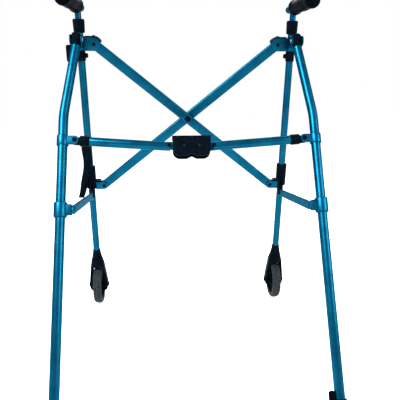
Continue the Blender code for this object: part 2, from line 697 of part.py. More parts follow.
def make_bracket(side, word):
    frame = front_frame(side)
    holder = f"{word}_side"
    layer = bar_layer(side)
    cheek_in = CAP_RADIUS + GAP
    cheek_out = cheek_in + CHEEK
    pivot = leg_pivot_on_front(side)
    middle = (BRACKET_LOW + BRACKET_HIGH) / 2
    bracket = rod("bracket", BRACKET_SLEEVE, (0, 0, BRACKET_LOW), (0, 0, BRACKET_HIGH), frame, 20)
    shape = strap((pivot.y, pivot.z), (0, middle), CHEEK_RADIUS)
    parts = [plate("cheek", shape, way * cheek_in, way * cheek_out, "YZ", frame) for way in (-1, 1)]
    outline = mirrored(bracket_outline(cheek_in + 0.5 * MM), side)
    for way in (-1, 1):
        inner = layer + way * CHANNEL
        parts.append(plate("channel", outline, inner, inner + way * PLATE, "XZ", frame))
    join(bracket, *parts)
    reach = CHANNEL + 2 * PLATE
    cut(bracket,
        hole(TUBE_HOLE, (0, 0, BRACKET_LOW - 5 * MM), (0, 0, BRACKET_HIGH + 5 * MM), frame),
        hole(BRACE_PIN + EASE, (-side * BRACE_INSET, layer - reach, BRACE_UPPER),
             (-side * BRACE_INSET, layer + reach, BRACE_UPPER), frame),
        hole(LEG_PIN + EASE, (-2 * cheek_out, pivot.y, pivot.z), (2 * cheek_out, pivot.y, pivot.z), frame))
    finish(bracket, f"top_bracket_{word}", PAINT, holder)
    at = Matrix.Translation((-side * BRACE_INSET, layer, BRACE_UPPER))
    pin = headed_pin("pin", BRACE_PIN, CHANNEL + PLATE + GAP, PIN_HEAD_RADIUS, PIN_HEAD,
                     frame @ at @ along("Y"))
    finish(pin, f"upper_brace_pin_{word}", NYLON, holder)
    at = Matrix.Translation(pivot)
    pin = headed_pin("pin", LEG_PIN, cheek_out + GAP, PIN_HEAD_RADIUS, PIN_HEAD, frame @ at @ along("X"))
    finish(pin, f"leg_pivot_pin_{word}", BRIGHT, holder)


def make_cover(side, word):
    """The strip that lies on the channel and follows its round end down to the bar."""
    frame = front_frame(side)
    layer = bar_layer(side)
    centre = (-BRACE_INSET, BRACE_UPPER)
    inner = BRACKET_END_RADIUS + GAP
    outer = inner + COVER_THICKNESS
    start = -(BRACKET_SLEEVE + 3 * MM)
    last = 180 - math.degrees(COVER_END)
    nub = arc((-BRACE_INSET, BRACE_UPPER + outer), NUB_RADIUS, 0, 180, 6)
    outline = [(start, centre[1] + inner), (start, centre[1] + outer)] + nub
    outline += arc(centre, outer, 98, last, 8) + arc(centre, inner, last, 90, 8)
    half = CHANNEL + PLATE
    cover = plate("cover", mirrored(outline, side), layer - half, layer + half, "XZ", frame)
    finish(cover, f"bracket_cover_{word}", NYLON, f"{word}_side")


def make_bumper():
    start = CAP_RADIUS + GAP + CHEEK + GAP
    made = block("bumper", (-start, BUMPER_BACK, BUMPER_LOW), (-start - BUMPER_REACH, BUMPER_FRONT,
                                                               BUMPER_HIGH),
                 front_frame(LEFT), 3.5 * MM)
    finish(made, "bumper_left", NYLON, "left_side")


# Scissor brace
def make_brace(side, word):
    frame = brace_frame(side)
    half = BAR_DEPTH / 2
    outline = strap((0, 0), (BRACE_LENGTH, 0), BAR_HALF_HEIGHT, BAR_LOWER_HALF_HEIGHT)
    bar = plate("brace_bar", outline, -half, half, "XZ", frame)
    bevel(bar, BAR_EDGE)
    for reach, radius in ((0, BRACE_PIN), (BRACE_LENGTH / 2, CENTRE_BOLT), (BRACE_LENGTH, BRACE_PIN)):
        cut(bar, hole(radius + EASE, (reach, -2 * half, 0), (reach, 2 * half, 0), frame))
    finish(bar, f"brace_bar_{word}", PAINT, f"{word}_brace")


def make_centre_bolt():
    frame = brace_frame(LEFT)
    at = Matrix.Translation((BRACE_LENGTH / 2, BAR_DEPTH / 2 + GAP, 0))
    half = BAR_DEPTH + 2 * GAP
    bolt = headed_pin("bolt", CENTRE_BOLT, half, CENTRE_HEAD_RADIUS, CENTRE_HEAD, frame @ at @ along("Y"))
    finish(bolt, "brace_center_bolt", NYLON, "left_brace")


# Sliding collar, its clevis and the lug of the side link
def make_collar(side, word):
    frame = front_frame(side)
    layer = bar_layer(-side)
    low, high = BRACE_LOWER - COLLAR_BELOW, BRACE_LOWER + COLLAR_ABOVE
    collar = barrel("collar", COLLAR_RADIUS, low, high, frame, 2 * MM)
    half = CHANNEL + PLATE
    shoe_start = COLLAR_RADIUS + 0.5 * MM - SHOE_DEPTH
    ledge = BRACE_LOWER + BAR_LOWER_HALF_HEIGHT + 2 * RUNNING
    parts = [block("shoe", (-side * shoe_start, layer - half, low + 0.4 * MM),
                   (-side * (shoe_start + SHOE_DEPTH), max(layer + half, 0), ledge + LEDGE_THICKNESS),
                   frame, 0.8 * MM),
             block("ledge", (-side * (shoe_start + 1 * MM), layer - half + 0.2 * MM, ledge),
                   (-side * LEDGE_REACH, layer + half - 0.2 * MM,
                    ledge + LEDGE_THICKNESS - 0.2 * MM), frame, 0.8 * MM)]
    pivot = (-LINK_BEHIND, BRACE_LOWER - LINK_BELOW)
    root = (-COLLAR_RADIUS, low + LUG_RADIUS)
    inner = LINK_THICKNESS / 2 + RUNNING
    for way in (-1, 1):
        edge = LINK_INSET + way * inner
        slab = (-side * edge, -side * (edge + way * LUG_PLATE))
        parts.append(plate("lug", strap(pivot, root, LUG_RADIUS), *slab, "YZ", frame))
    pin_reach = inner + LUG_PLATE - 0.4 * MM
    ends = [(-side * (LINK_INSET + way * pin_reach), *pivot) for way in (-1, 1)]
    parts.append(rod("link_pin", LINK_PIN, *ends, frame))
    if side == LEFT:
        at = (-LEVER_PIVOT_BEHIND, BRACE_LOWER + LEVER_PIVOT_ABOVE)
        edge = COLLAR_RADIUS + RUNNING + LEVER_EAR
        parts.append(rod("lever_pin", LEVER_PIN, (-COLLAR_RADIUS + 4 * MM, *at), (-edge, *at), frame))
    join(collar, *parts)
    bore = TUBE_RADIUS + SLIDE_CLEARANCE
    cut(collar, hole(bore, (0, 0, pivot[1] - 2 * LUG_RADIUS), (0, 0, high + COLLAR_RADIUS), frame))
    finish(collar, f"slide_collar_{word}", NYLON, f"{word}_collar")
    base = shoe_start + SHOE_DEPTH + GAP
    low, high = BRACE_LOWER - CLEVIS_RADIUS, BRACE_LOWER + CLEVIS_RADIUS
    clevis = block("clevis", (-side * base, layer - half, low), (-side * (base + CLEVIS_BASE), layer + half,
                                                                 high),
                   frame)
    outline = [(-base - 1 * MM, low + 0.2 * MM), (-base - 1 * MM, high - 0.2 * MM)]
    outline += arc((-BRACE_INSET, BRACE_LOWER), CLEVIS_RADIUS - 0.2 * MM, 90, 270, 8)
    for way in (-1, 1):
        edge = layer + way * CHANNEL
        cheek = plate("cheek", mirrored(outline, side), edge, edge + way * (PLATE - 0.2 * MM), "XZ", frame)
        join(clevis, cheek)
    reach = 2 * half
    at = Vector((-side * BRACE_INSET, layer, BRACE_LOWER))
    cut(clevis, hole(BRACE_PIN + EASE, at - Vector((0, reach, 0)), at + Vector((0, reach, 0)), frame))
    finish(clevis, f"collar_clevis_{word}", PAINT, f"{word}_collar")
    spot = frame @ Matrix.Translation(at) @ along("Y")
    pin = headed_pin("pin", BRACE_PIN, half + GAP, PIN_HEAD_RADIUS, PIN_HEAD, spot)
    finish(pin, f"lower_brace_pin_{word}", NYLON, f"{word}_collar")


def make_link(side, word):
    frame = link_frame(side)
    length = (link_rear(side) - link_front(side)).length
    half = LINK_THICKNESS / 2
    link = plate("link", strap((-length, 0), (0, 0), LINK_RADIUS), -half, half, "YZ", frame)
    bevel(link, 1 * MM, 1)
    head = rod("bolt_head", LINK_BOLT_RADIUS, (0, -length, 0), (-side * (half + LINK_BOLT_HEAD), -length, 0),
               frame)
    join(link, head)
    cut(link, hole(LINK_PIN + EASE, (-2 * half, 0, 0), (2 * half, 0, 0), frame))
    finish(link, f"side_link_{word}", LINK_PAINT, f"{word}_link")


def lever_outline():
    """Down the plate's inboard edge and back up the other, from its middle and half width at each level."""
    rows = [(BRACE_LOWER + level * MM, middle * MM, half * MM) for level, middle, half in LEVER_SHAPE]
    inboard = [(middle + half, level) for level, middle, half in rows]
    return inboard + [(middle - half, level) for level, middle, half in reversed(rows)]


def make_lever():
    """A bent plate behind the tube and collar, with a pad near the tube and an ear on the collar's pin."""
    frame = front_frame(LEFT)
    front = -(COLLAR_RADIUS + RUNNING)
    lever = plate("lever", lever_outline(), front - LEVER_PLATE, front, "XZ", frame)
    bevel(lever, 1.5 * MM)
    low, high = BRACE_LOWER + LEVER_PAD_LOW, BRACE_LOWER + LEVER_PAD_HIGH
    pad = block("pad", (-LEVER_PAD_HALF, front - 2 * MM, low), (LEVER_PAD_HALF,
                                                                -TUBE_RADIUS - SLIDE_CLEARANCE, high),
                frame, 2 * MM)
    pivot = (-LEVER_PIVOT_BEHIND, BRACE_LOWER + LEVER_PIVOT_ABOVE)
    edge = -(COLLAR_RADIUS + RUNNING)
    shape = strap((front - LEVER_EAR_RADIUS + 2 * MM, pivot[1]), pivot, LEVER_EAR_RADIUS)
    ear = plate("ear", shape, edge, edge - LEVER_EAR, "YZ", frame)
    join(lever, pad, ear)
    far = COLLAR_RADIUS + 4 * LEVER_EAR
    cut(lever, hole(LEVER_PIN + EASE, (-COLLAR_RADIUS + 1 * MM, *pivot), (-far, *pivot), frame))
    finish(lever, "release_lever", NYLON, "lever")


# Rear leg with its cap, rings and foot
def leg_path(side):
    """Down from the cap, out through the bend and straight down the leg."""
    start = Vector((0, 0, -LEG_TOP))
    bend = Vector((side * LEG_OUTSET, 0, -LEG_BEND))
    end = Vector((side * LEG_OUTSET, 0, LEG_FLOOR + LEG_END_ABOVE_FLOOR))
    lean = math.atan2(LEG_OUTSET, LEG_BEND - LEG_TOP)
    back = LEG_BEND_RADIUS * math.tan(lean / 2)
    first = bend + (start - bend).normalized() * back
    centre = Vector((side * (LEG_OUTSET - LEG_BEND_RADIUS), 0, -LEG_BEND - back))
    steps = 6
    points = [start, first]
    for i in range(1, steps + 1):
        turn = lean * (1 - i / steps)
        points.append(centre + LEG_BEND_RADIUS * Vector((side * math.cos(turn), 0, math.sin(turn))))
    return points + [end]


def make_leg(side, word):
    frame = rear_frame(side)
    holder = f"{word}_leg"
    leg = tube("leg", leg_path(side), LEG_RADIUS, frame)
    finish(leg, f"rear_leg_{word}", PAINT, holder)
    cap = rod("cap", CAP_RADIUS, (0, 0, -CAP_HALF + 2 * MM), (0, 0, CAP_HALF), frame, 2 * CAP_RIDGES)
    for i, corner in enumerate(sorted(cap.data.vertices, key=lambda v: math.atan2(v.co.y, v.co.x))):
        if (i // 2) % 2:
            corner.co.xy *= 1 - CAP_RIDGE / CAP_RADIUS
    crown = cap.modifiers.new("crown", "BEVEL")
    crown.width = 3 * MM
    crown.segments = 1
    crown.limit_method = "ANGLE"
    crown.angle_limit = math.radians(60)
    cut(cap, hole(LEG_PIN + EASE, (-2 * CAP_RADIUS, 0, 0), (2 * CAP_RADIUS, 0, 0), frame))
    finish(cap, f"leg_cap_{word}", NYLON, holder)
    foot_frame = frame @ Matrix.Translation((side * LEG_OUTSET, 0, LEG_FLOOR))
    bore = LEG_RADIUS + EASE
    floor_of_bore = LEG_END_ABOVE_FLOOR - GAP
    below = -FOOT_RADIUS
    foot = turned("foot", [(0, FOOT_HEIGHT), (FOOT_TOP_RADIUS - 1 * MM, FOOT_HEIGHT),
                           (FOOT_TOP_RADIUS, FOOT_HEIGHT - 1.5 * MM), (FOOT_TOP_RADIUS, 0.55 * FOOT_HEIGHT),
                           (FOOT_RADIUS, 0.3 * FOOT_HEIGHT), (FOOT_RADIUS, below), (0, below)], foot_frame)
    tab = block("tab", (-side * (LEG_RADIUS - 2 * MM), -FOOT_TAB_HALF, FOOT_TAB_LOW),
                (-side * (LEG_RADIUS + FOOT_TAB_REACH), FOOT_TAB_HALF, FOOT_TAB_HIGH), foot_frame, 3 * MM)
    join(foot, tab)
    wide = 4 * FOOT_RADIUS
    centre = foot_frame.translation
    cut(foot, hole(bore, (0, 0, floor_of_bore), (0, 0, 2 * FOOT_TAB_HIGH), foot_frame),
        block("floor", (centre.x - wide, centre.y - wide, -wide), (centre.x + wide, centre.y + wide, 0),
              Matrix()))
    finish(foot, f"foot_{word}", FOAM, holder)


def make_rings(side, word):
    frame = rear_frame(side)
    holder = f"{word}_leg"
    on_leg = frame @ Matrix.Translation((side * LEG_OUTSET, 0, 0))
    bore = LEG_RADIUS + EASE
    upper = barrel("ring", UPPER_RING_RADIUS, -UPPER_RING - UPPER_RING_HALF, -UPPER_RING + UPPER_RING_HALF,
                   on_leg)
    root = (LEG_OUTSET - 5 * MM, -UPPER_RING)
    ear = plate("ear", mirrored(strap((EAR_X, -UPPER_RING), root, EAR_RADIUS), side), EAR_BACK, EAR_FRONT,
                "XZ", frame)
    join(upper, ear)
    along_leg = [(0, 0, -UPPER_RING + way * 4 * UPPER_RING_HALF) for way in (-1, 1)]
    at = (side * EAR_X, 0, -UPPER_RING)
    reach = 3 * abs(EAR_BACK)
    cut(upper, hole(bore, *along_leg, on_leg),
        hole(EAR_BOLT + EASE, (at[0], -reach, at[2]), (at[0], reach, at[2]), frame))
    finish(upper, f"upper_ring_{word}", PAINT, holder)
    tongue_far = EAR_FRONT + RUNNING + TONGUE_THICKNESS
    middle = (EAR_BACK + tongue_far) / 2
    half = (tongue_far - EAR_BACK) / 2 + RUNNING
    spot = frame @ Matrix.Translation((at[0], middle, at[2])) @ along("Y")
    bolt = headed_pin("bolt", EAR_BOLT, half, EAR_BOLT_HEAD_RADIUS, 2.6 * MM, spot)
    finish(bolt, f"ear_bolt_{word}", NYLON, holder)
    lower = barrel("ring", LOWER_RING_RADIUS, -LOWER_RING - LOWER_RING_HALF, -LOWER_RING + LOWER_RING_HALF,
                   on_leg, RING_CHAMFER)
    face = LINK_INSET - LINK_THICKNESS / 2 - RUNNING
    lug = block("lug", (-side * face, -LUG_HALF_DEPTH, -LOWER_RING - LUG_HALF_HEIGHT),
                (side * LEG_OUTSET, LUG_HALF_DEPTH, -LOWER_RING + LUG_HALF_HEIGHT), frame, 2.5 * MM)
    join(lower, lug)
    along_leg = [(0, 0, -LOWER_RING + way * 3 * LOWER_RING_HALF) for way in (-1, 1)]
    cut(lower, hole(bore, *along_leg, on_leg))
    finish(lower, f"lower_ring_{word}", PAINT, holder)


# Folding bar and its centre housing
def make_half_bar(side, word):
    frame = half_bar_frame(side)
    holder = f"{word}_half_bar"
    back = EAR_FRONT + RUNNING
    front = back + TONGUE_THICKNESS
    plug = rod("plug", END_PLUG_RADIUS, (END_PLUG_START, 0, 0), (END_PLUG_END, 0, 0), frame, 18)
    bevel(plug, 2 * MM, 1)
    tongue = plate("tongue", strap((0, 0), (END_PLUG_START + 6 * MM, 0), TONGUE_RADIUS), back, front, "XZ",
                   frame)
    join(plug, tongue)
    cut(plug, hole(EAR_BOLT + EASE, (0, 2 * back, 0), (0, 3 * front, 0), frame))
    finish(plug, f"bar_end_plug_{word}", NYLON, holder)
    lap_start = HALF_BAR - LAP_LENGTH
    half = rod("half_bar", BAR_RADIUS, (END_PLUG_END + GAP, 0, 0), (lap_start, 0, 0), frame, 18)
    bevel(half, 1 * MM, 1)
    lap = plate("lap", strap((lap_start - 6 * MM, 0), (HALF_BAR, 0), LAP_RADIUS), side * RUNNING,
                side * (RUNNING + LAP_THICKNESS), "XZ", frame)
    join(half, lap)
    reach = 2 * BAR_RADIUS
    cut(half, hole(TRUNNION + EASE, (HALF_BAR, -reach, 0), (HALF_BAR, reach, 0), frame))
    finish(half, f"half_bar_{word}", PAINT, holder)


def housing_outline():
    """Flat top, rounded lower corners and a shallow notch between the two lobes."""
    edge, low, notch = HOUSING_HALF_WIDTH, -HOUSING_DEPTH, HOUSING_NOTCH_HALF
    right = [(0, low + HOUSING_NOTCH), (0.5 * notch, low + 0.7 * HOUSING_NOTCH), (notch, low)]
    right += arc((edge - HOUSING_CORNER, low + HOUSING_CORNER), HOUSING_CORNER, -90, 0, 6)
    right.append((edge, HOUSING_TOP - 0.3 * MM))
    return right + [(-x, z) for x, z in reversed(right)][:-1]


def make_housing():
    """A cover open below: two walls with a lobe under each pivot, joined by a top with a lip."""
    frame = housing_frame()
    wall = housing_outline()
    outer = HOUSING_INNER + HOUSING_WALL
    wide = HOUSING_HALF_WIDTH + HOUSING_LIP
    housing = block("housing", (-wide, -outer - 0.8 * MM, HOUSING_TOP - HOUSING_WALL),
                    (wide, outer + 0.8 * MM, HOUSING_TOP),
                    frame, 1 * MM)
    parts = [plate("wall", wall, way * HOUSING_INNER, way * outer, "XZ", frame) for way in (-1, 1)]
    parts.append(rod("trunnion", TRUNNION, (-HOUSING_PIVOT, -outer + 0.5 * MM, 0), (-HOUSING_PIVOT, -GAP, 0),
                     frame))
    for way in (-1, 1):
        at = way * HOUSING_PIVOT
        parts.append(rod("mark", MARK_RADIUS, (at, -outer - MARK_HEIGHT, 0), (at, -outer + 1 * MM, 0), frame,
                         16))
    join(housing, *parts)
    finish(housing, "centre_housing", NYLON, "housing")


make_bodies()
for one_side, one_word in SIDES.items():
    make_wheel(one_side, one_word)
    make_fork(one_side, one_word)
    make_front_tube(one_side, one_word)
    make_lock(one_side, one_word)
    make_handle(one_side, one_word)
    make_bracket(one_side, one_word)
    make_cover(one_side, one_word)
    make_brace(one_side, one_word)
    make_collar(one_side, one_word)
    make_link(one_side, one_word)
    make_leg(one_side, one_word)
    make_rings(one_side, one_word)
    make_half_bar(one_side, one_word)
make_bumper()
make_centre_bolt()
make_lever()
make_housing()
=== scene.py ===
import math

import bmesh
import bpy
from mathutils import Matrix, Vector


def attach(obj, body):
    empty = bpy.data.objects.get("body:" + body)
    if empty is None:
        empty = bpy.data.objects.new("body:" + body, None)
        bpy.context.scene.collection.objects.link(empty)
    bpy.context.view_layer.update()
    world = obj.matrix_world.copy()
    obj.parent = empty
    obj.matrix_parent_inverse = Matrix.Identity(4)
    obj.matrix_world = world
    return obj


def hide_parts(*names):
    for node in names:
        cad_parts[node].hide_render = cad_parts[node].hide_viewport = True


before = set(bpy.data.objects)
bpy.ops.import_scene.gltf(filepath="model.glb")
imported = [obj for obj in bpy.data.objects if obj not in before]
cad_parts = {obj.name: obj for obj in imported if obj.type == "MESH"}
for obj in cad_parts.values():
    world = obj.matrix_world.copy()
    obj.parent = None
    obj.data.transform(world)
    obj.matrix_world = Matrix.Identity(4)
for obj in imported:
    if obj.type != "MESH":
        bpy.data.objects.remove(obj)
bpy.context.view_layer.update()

# The walker's own sizes, in metres, as the CAD has them
MM = 0.001
LEFT, RIGHT = -1, 1
SIDES = {LEFT: "left", RIGHT: "right"}
HALF_TRACK = 276 * MM
FRONT_RAKE, REAR_LEAN = math.radians(7.0), math.radians(27.5)
WHEEL_RADIUS = 57.5 * MM
STANCE = 554 * MM
FOOT_RADIUS = 17.5 * MM
AXLE_HEIGHT = WHEEL_RADIUS / math.cos(FRONT_RAKE)
FRONT_Y = (STANCE + FOOT_RADIUS / math.cos(REAR_LEAN) - WHEEL_RADIUS * (1 - math.tan(FRONT_RAKE))) / 2
LEG_PIVOT_HEIGHT = 772 * MM
LEG_PIVOT_Y = FRONT_Y - STANCE + LEG_PIVOT_HEIGHT * math.tan(REAR_LEAN)
LEG_FLOOR = -LEG_PIVOT_HEIGHT / math.cos(REAR_LEAN)
GAP = 0.3 * MM  # between pieces that seat on each other
TUBE_RADIUS, TUBE_HOLE = 9.5 * MM, 9.8 * MM
TUBE_LOW, TUBE_HIGH = 150 * MM, 815 * MM
POST_RADIUS = 8 * MM
PIN, BRACE_PIN, BOLT = 3 * MM, 3.2 * MM, 4 * MM
PIN_HOLE, BRACE_PIN_HOLE, BOLT_HOLE = 3.3 * MM, 3.5 * MM, 4.3 * MM
PIN_HEAD = 4.6 * MM, 1.8 * MM  # radius and height
HANDLE_HEIGHT = 857 * MM
GRIP_SPLAY = math.radians(5.0)
BRACKET_LOW, BRACKET_HIGH = 757 * MM, 790 * MM
BRACE_INSET, BRACE_BEHIND = 38 * MM, 11 * MM
BRACE_UPPER, BRACE_LOWER = 773.1 * MM, 388.2 * MM
BRACE_HALF_HEIGHT = 12.5 * MM, 11.5 * MM  # at the upper and the lower pivot
BAR_DEPTH = 14 * MM
CHANNEL, PLATE = 7.5 * MM, 3.2 * MM
BRACE_HALF_SPAN = HALF_TRACK - BRACE_INSET
BRACE_LENGTH = math.hypot(2 * BRACE_HALF_SPAN, BRACE_UPPER - BRACE_LOWER)
BRACE_ANGLE = math.atan2(BRACE_UPPER - BRACE_LOWER, 2 * BRACE_HALF_SPAN)
LEG_OUTSET, LEG_BEND, LEG_TOP = 24 * MM, 198 * MM, 18 * MM
LEG_RADIUS, LEG_BORE = 11.1 * MM, 11.4 * MM
UPPER_RING, LOWER_RING = 262.7 * MM, 427.3 * MM
EAR_X = -4 * MM
BAR_SAG = math.radians(4.3)
BAR_RADIUS, BAR_START, LAP, TONGUE = 10.5 * MM, 34 * MM, 33 * MM, 6.4 * MM
HOUSING_PIVOT = 18 * MM
HALF_BAR = (HALF_TRACK + EAR_X - HOUSING_PIVOT) / math.cos(BAR_SAG)
LINK_INSET, LINK_BEHIND, LINK_BELOW = 5 * MM, 21 * MM, 26.2 * MM
COLLAR_LOW, COLLAR_HIGH = BRACE_LOWER - 9.2 * MM, BRACE_LOWER + 54.8 * MM
COLLAR_RADIUS, COLLAR_BORE = 14.5 * MM, 11.1 * MM
LEVER_PIVOT = -6 * MM, BRACE_LOWER + 8 * MM  # behind the front tube's axis and up it
FINE = 56  # sides of the larger round pieces
# The outline of a fork's leg, in millimetres: outward from the wheel's middle and up the front tube
FORK_LEG = [(14.3, 40), (19.4, 40), (23.2, 42.6), (25.8, 47), (27.3, 52.5), (27.8, 59), (27.2, 70),
            (25.6, 84), (23.6, 100), (21.2, 118), (19.1, 135.4), (14.3, 135.4)]
# The lever in millimetres: height over the brace's lower pivot, middle and half width
LEVER_SHAPE = [(142, -3.7, 13.2), (125, -3.6, 13.2), (107, -3.6, 13), (90, -2.4, 12.8), (76, -1.6, 12.4),
               (64, -3, 11.8), (54, -5, 11), (43, -7.8, 10.4), (33, -11, 10), (22, -13.8, 9.9),
               (12, -16.4, 9.7), (4, -18.1, 9.5), (-4, -19.6, 9.4), (-12, -21.4, 9.2), (-20, -23.6, 8.8),
               (-28, -26.4, 8.4), (-34, -29, 8)]


def front_frame(side):
    """Z runs up the front tube, Y ahead of it."""
    return Matrix.Translation((side * HALF_TRACK, FRONT_Y, 0)) @ Matrix.Rotation(FRONT_RAKE, 4, "X")


def rear_frame(side):
    """Z runs up the rear leg from its pivot."""
    at = Matrix.Translation((side * HALF_TRACK, LEG_PIVOT_Y, LEG_PIVOT_HEIGHT))
    return at @ Matrix.Rotation(-REAR_LEAN, 4, "X")


def towards_middle(side, drop):
    """Brings X onto the line that falls towards the walker's middle."""
    return Matrix.Rotation(drop if side == LEFT else math.pi - drop, 4, "Y")


def bar_layer(side):
    """How far ahead of the front tube's axis a brace bar's middle lies."""
    return -BRACE_BEHIND + side * (BAR_DEPTH / 2 + GAP)


def brace_frame(side):
    at = Vector((-side * BRACE_INSET, bar_layer(side), BRACE_UPPER))
    return front_frame(side) @ Matrix.Translation(at) @ towards_middle(side, BRACE_ANGLE)


def half_bar_frame(side):
    at = Matrix.Translation((side * EAR_X, 0, -UPPER_RING))
    return rear_frame(side) @ at @ towards_middle(side, BAR_SAG)


def housing_frame():
    level = -UPPER_RING - HALF_BAR * math.sin(BAR_SAG)
    return rear_frame(LEFT) @ Matrix.Translation((HALF_TRACK, 0, level))


def link_ends(side):
    ahead = front_frame(side) @ Vector((-side * LINK_INSET, -LINK_BEHIND, BRACE_LOWER - LINK_BELOW))
    return ahead, rear_frame(side) @ Vector((-side * LINK_INSET, 0, -LOWER_RING))


def link_frame(side):
    ahead, behind = link_ends(side)
    run = behind - ahead
    return Matrix.Translation(ahead) @ Matrix.Rotation(-math.atan2(run.z, -run.y), 4, "X")


def along(axis):
    """Brings Z onto X or Y."""
    return Matrix.Rotation(math.pi / 2, 4, "Y") if axis == "X" else Matrix.Rotation(-math.pi / 2, 4, "X")


def shifted(matrix, *at):
    return matrix @ Matrix.Translation(at)


# Finishes
def linear(code):
    """An sRGB hex colour as linear RGBA."""
    parts = [int(code[i:i + 2], 16) / 255 for i in (1, 3, 5)]
    return (*[c / 12.92 if c <= 0.04045 else ((c + 0.055) / 1.055) ** 2.4 for c in parts], 1.0)


def add(tree, kind, settings=None, links=None):
    """A node with its settings, on the node itself or its sockets, and the sockets that feed it."""
    made = tree.nodes.new(kind)
    for name, value in (settings or {}).items():
        if isinstance(name, str) and hasattr(made, name):
            setattr(made, name, value)
        else:
            made.inputs[name].default_value = value
    for name, source in (links or {}).items():
        tree.links.new(source, made.inputs[name])
    return made


def finish_named(name, settings):
    made = bpy.data.materials.new(name)
    made.use_nodes = True
    tree = made.node_tree
    shader = tree.nodes["Principled BSDF"]
    for key, value in settings.items():
        shader.inputs[key].default_value = value
    return made, tree, shader


def mottled(tree, shader, low, high, grain_mm, stretch=(1, 1, 1), detail=3):
    """Two close shades of one colour in soft patches of a real size."""
    place = add(tree, "ShaderNodeTexCoord")
    scaled = add(tree, "ShaderNodeMapping", {"Scale": stretch}, {"Vector": place.outputs["Object"]})
    noise = add(tree, "ShaderNodeTexNoise", {"Scale": 1 / (grain_mm * MM), "Detail": detail},
                {"Vector": scaled.outputs["Vector"]})
    ramp = add(tree, "ShaderNodeValToRGB", links={"Fac": noise.outputs["Fac"]})
    ramp.color_ramp.elements[0].position, ramp.color_ramp.elements[1].position = 0.35, 0.68
    ramp.color_ramp.elements[0].color, ramp.color_ramp.elements[1].color = linear(low), linear(high)
    tree.links.new(ramp.outputs["Color"], shader.inputs["Base Color"])
    return scaled, noise


def grain(tree, shader, grain_mm, depth_mm, strength, place):
    """A fine moulded or sprayed surface."""
    fine = add(tree, "ShaderNodeTexNoise", {"Scale": 1 / (grain_mm * MM), "Detail": 2, "Roughness": 0.6},
               {"Vector": place.outputs["Vector"]})
    bump = add(tree, "ShaderNodeBump", {"Strength": strength, "Distance": depth_mm * MM},
               {"Height": fine.outputs["Fac"]})
    tree.links.new(bump.outputs["Normal"], shader.inputs["Normal"])
    return fine


def roughness_from(tree, shader, source, low, high):
    spread = add(tree, "ShaderNodeMapRange", {"To Min": low, "To Max": high},
                 {"Value": source.outputs["Fac"]})
    tree.links.new(spread.outputs["Result"], shader.inputs["Roughness"])


def metallic_lacquer(name, low, high, roughness):
    """Metallic lacquer, sprayed on aluminium: a bright streak between darker flanks."""
    made, tree, shader = finish_named(name, {
        "Metallic": 0.96, "Roughness": 0.28, "Specular Tint": linear("#9DB8BC")})
    place, _ = mottled(tree, shader, low, high, 30)
    flakes = grain(tree, shader, 0.9, 0.02, 0.12, place)
    roughness_from(tree, shader, flakes, *roughness)
    return made


def satin_link_paint():
    """Thin blue paint over cold-rolled flat bar: satin, with faint rolling lines."""
    made, tree, shader = finish_named("satin paint on cold-rolled flat bar", {
        "Metallic": 0.95, "Roughness": 0.42, "Specular Tint": linear("#86AFB6")})
    place, _ = mottled(tree, shader, "#094A62", "#115872", 14, (6, 0.5, 6))
    grain(tree, shader, 1.2, 0.02, 0.15, place)
    return made


def moulded_nylon():
    """Glass-filled nylon, moulded in a spark-eroded tool: black with a fine, soft sheen."""
    made, tree, shader = finish_named("black nylon moulded in a spark-eroded tool", {
        "Roughness": 0.46, "IOR": 1.15, "Specular IOR Level": 0.1, "Specular Tint": linear("#8FC4E0")})
    place, _ = mottled(tree, shader, "#030810", "#070E15", 9)
    fine = grain(tree, shader, 0.7, 0.05, 0.3, place)
    roughness_from(tree, shader, fine, 0.38, 0.56)
    return made


def moulded_grip():
    """Soft thermoplastic rubber, moulded over the handle: nearly black, a little shinier in patches."""
    made, tree, shader = finish_named("soft rubber moulded over the handle", {
        "Roughness": 0.5, "IOR": 1.15, "Specular IOR Level": 0.1, "Specular Tint": linear("#6FA4D0")})
    place, noise = mottled(tree, shader, "#02050A", "#050A10", 16)
    grain(tree, shader, 1.1, 0.04, 0.35, place)
    roughness_from(tree, shader, noise, 0.44, 0.6)
    return made


def moulded_tyre():
    """Grey polyurethane tread, moulded on the rim: dull, scuffed lighter in patches."""
    made, tree, shader = finish_named("grey polyurethane tread moulded on the rim", {
        "Roughness": 0.7, "IOR": 1.5, "Specular IOR Level": 0.15})
    place, noise = mottled(tree, shader, "#070A0C", "#30373B", 3.2)
    grain(tree, shader, 1.3, 0.1, 0.4, place)
    roughness_from(tree, shader, noise, 0.58, 0.8)
    return made


def zinc_plated_steel():
    """Turned steel pin with bright zinc plating: a soft grey shine."""
    made, tree, shader = finish_named("turned steel with bright zinc plating", {
        "Metallic": 1.0, "Roughness": 0.32})
    place, _ = mottled(tree, shader, "#6F767C", "#8C9298", 4)
    grain(tree, shader, 0.6, 0.02, 0.2, place)
    return made


def grey_plug():
    """Dark grey nylon plugs pressed into the housing."""
    made, tree, shader = finish_named("grey nylon plug pressed in", {
        "Roughness": 0.6, "IOR": 1.2, "Specular IOR Level": 0.1})
    place, _ = mottled(tree, shader, "#12181D", "#1B2329", 3)
    grain(tree, shader, 0.6, 0.03, 0.25, place)
    return made


PAINT = metallic_lacquer("metallic lacquer sprayed on round tube", "#03415B", "#084E6A", (0.29, 0.38))
BAR_PAINT = metallic_lacquer("metallic lacquer sprayed on flat-sided bar", "#04445E", "#094F6B", (0.3, 0.4))
LINK_PAINT = satin_link_paint()
NYLON, RUBBER, TREAD = moulded_nylon(), moulded_grip(), moulded_tyre()
ZINC, PLUG = zinc_plated_steel(), grey_plug()


# Making of meshes
def put(mesh, name, at):
    made = bpy.data.objects.new(name, mesh)
    bpy.context.scene.collection.objects.link(made)
    made.matrix_world = at
    return made


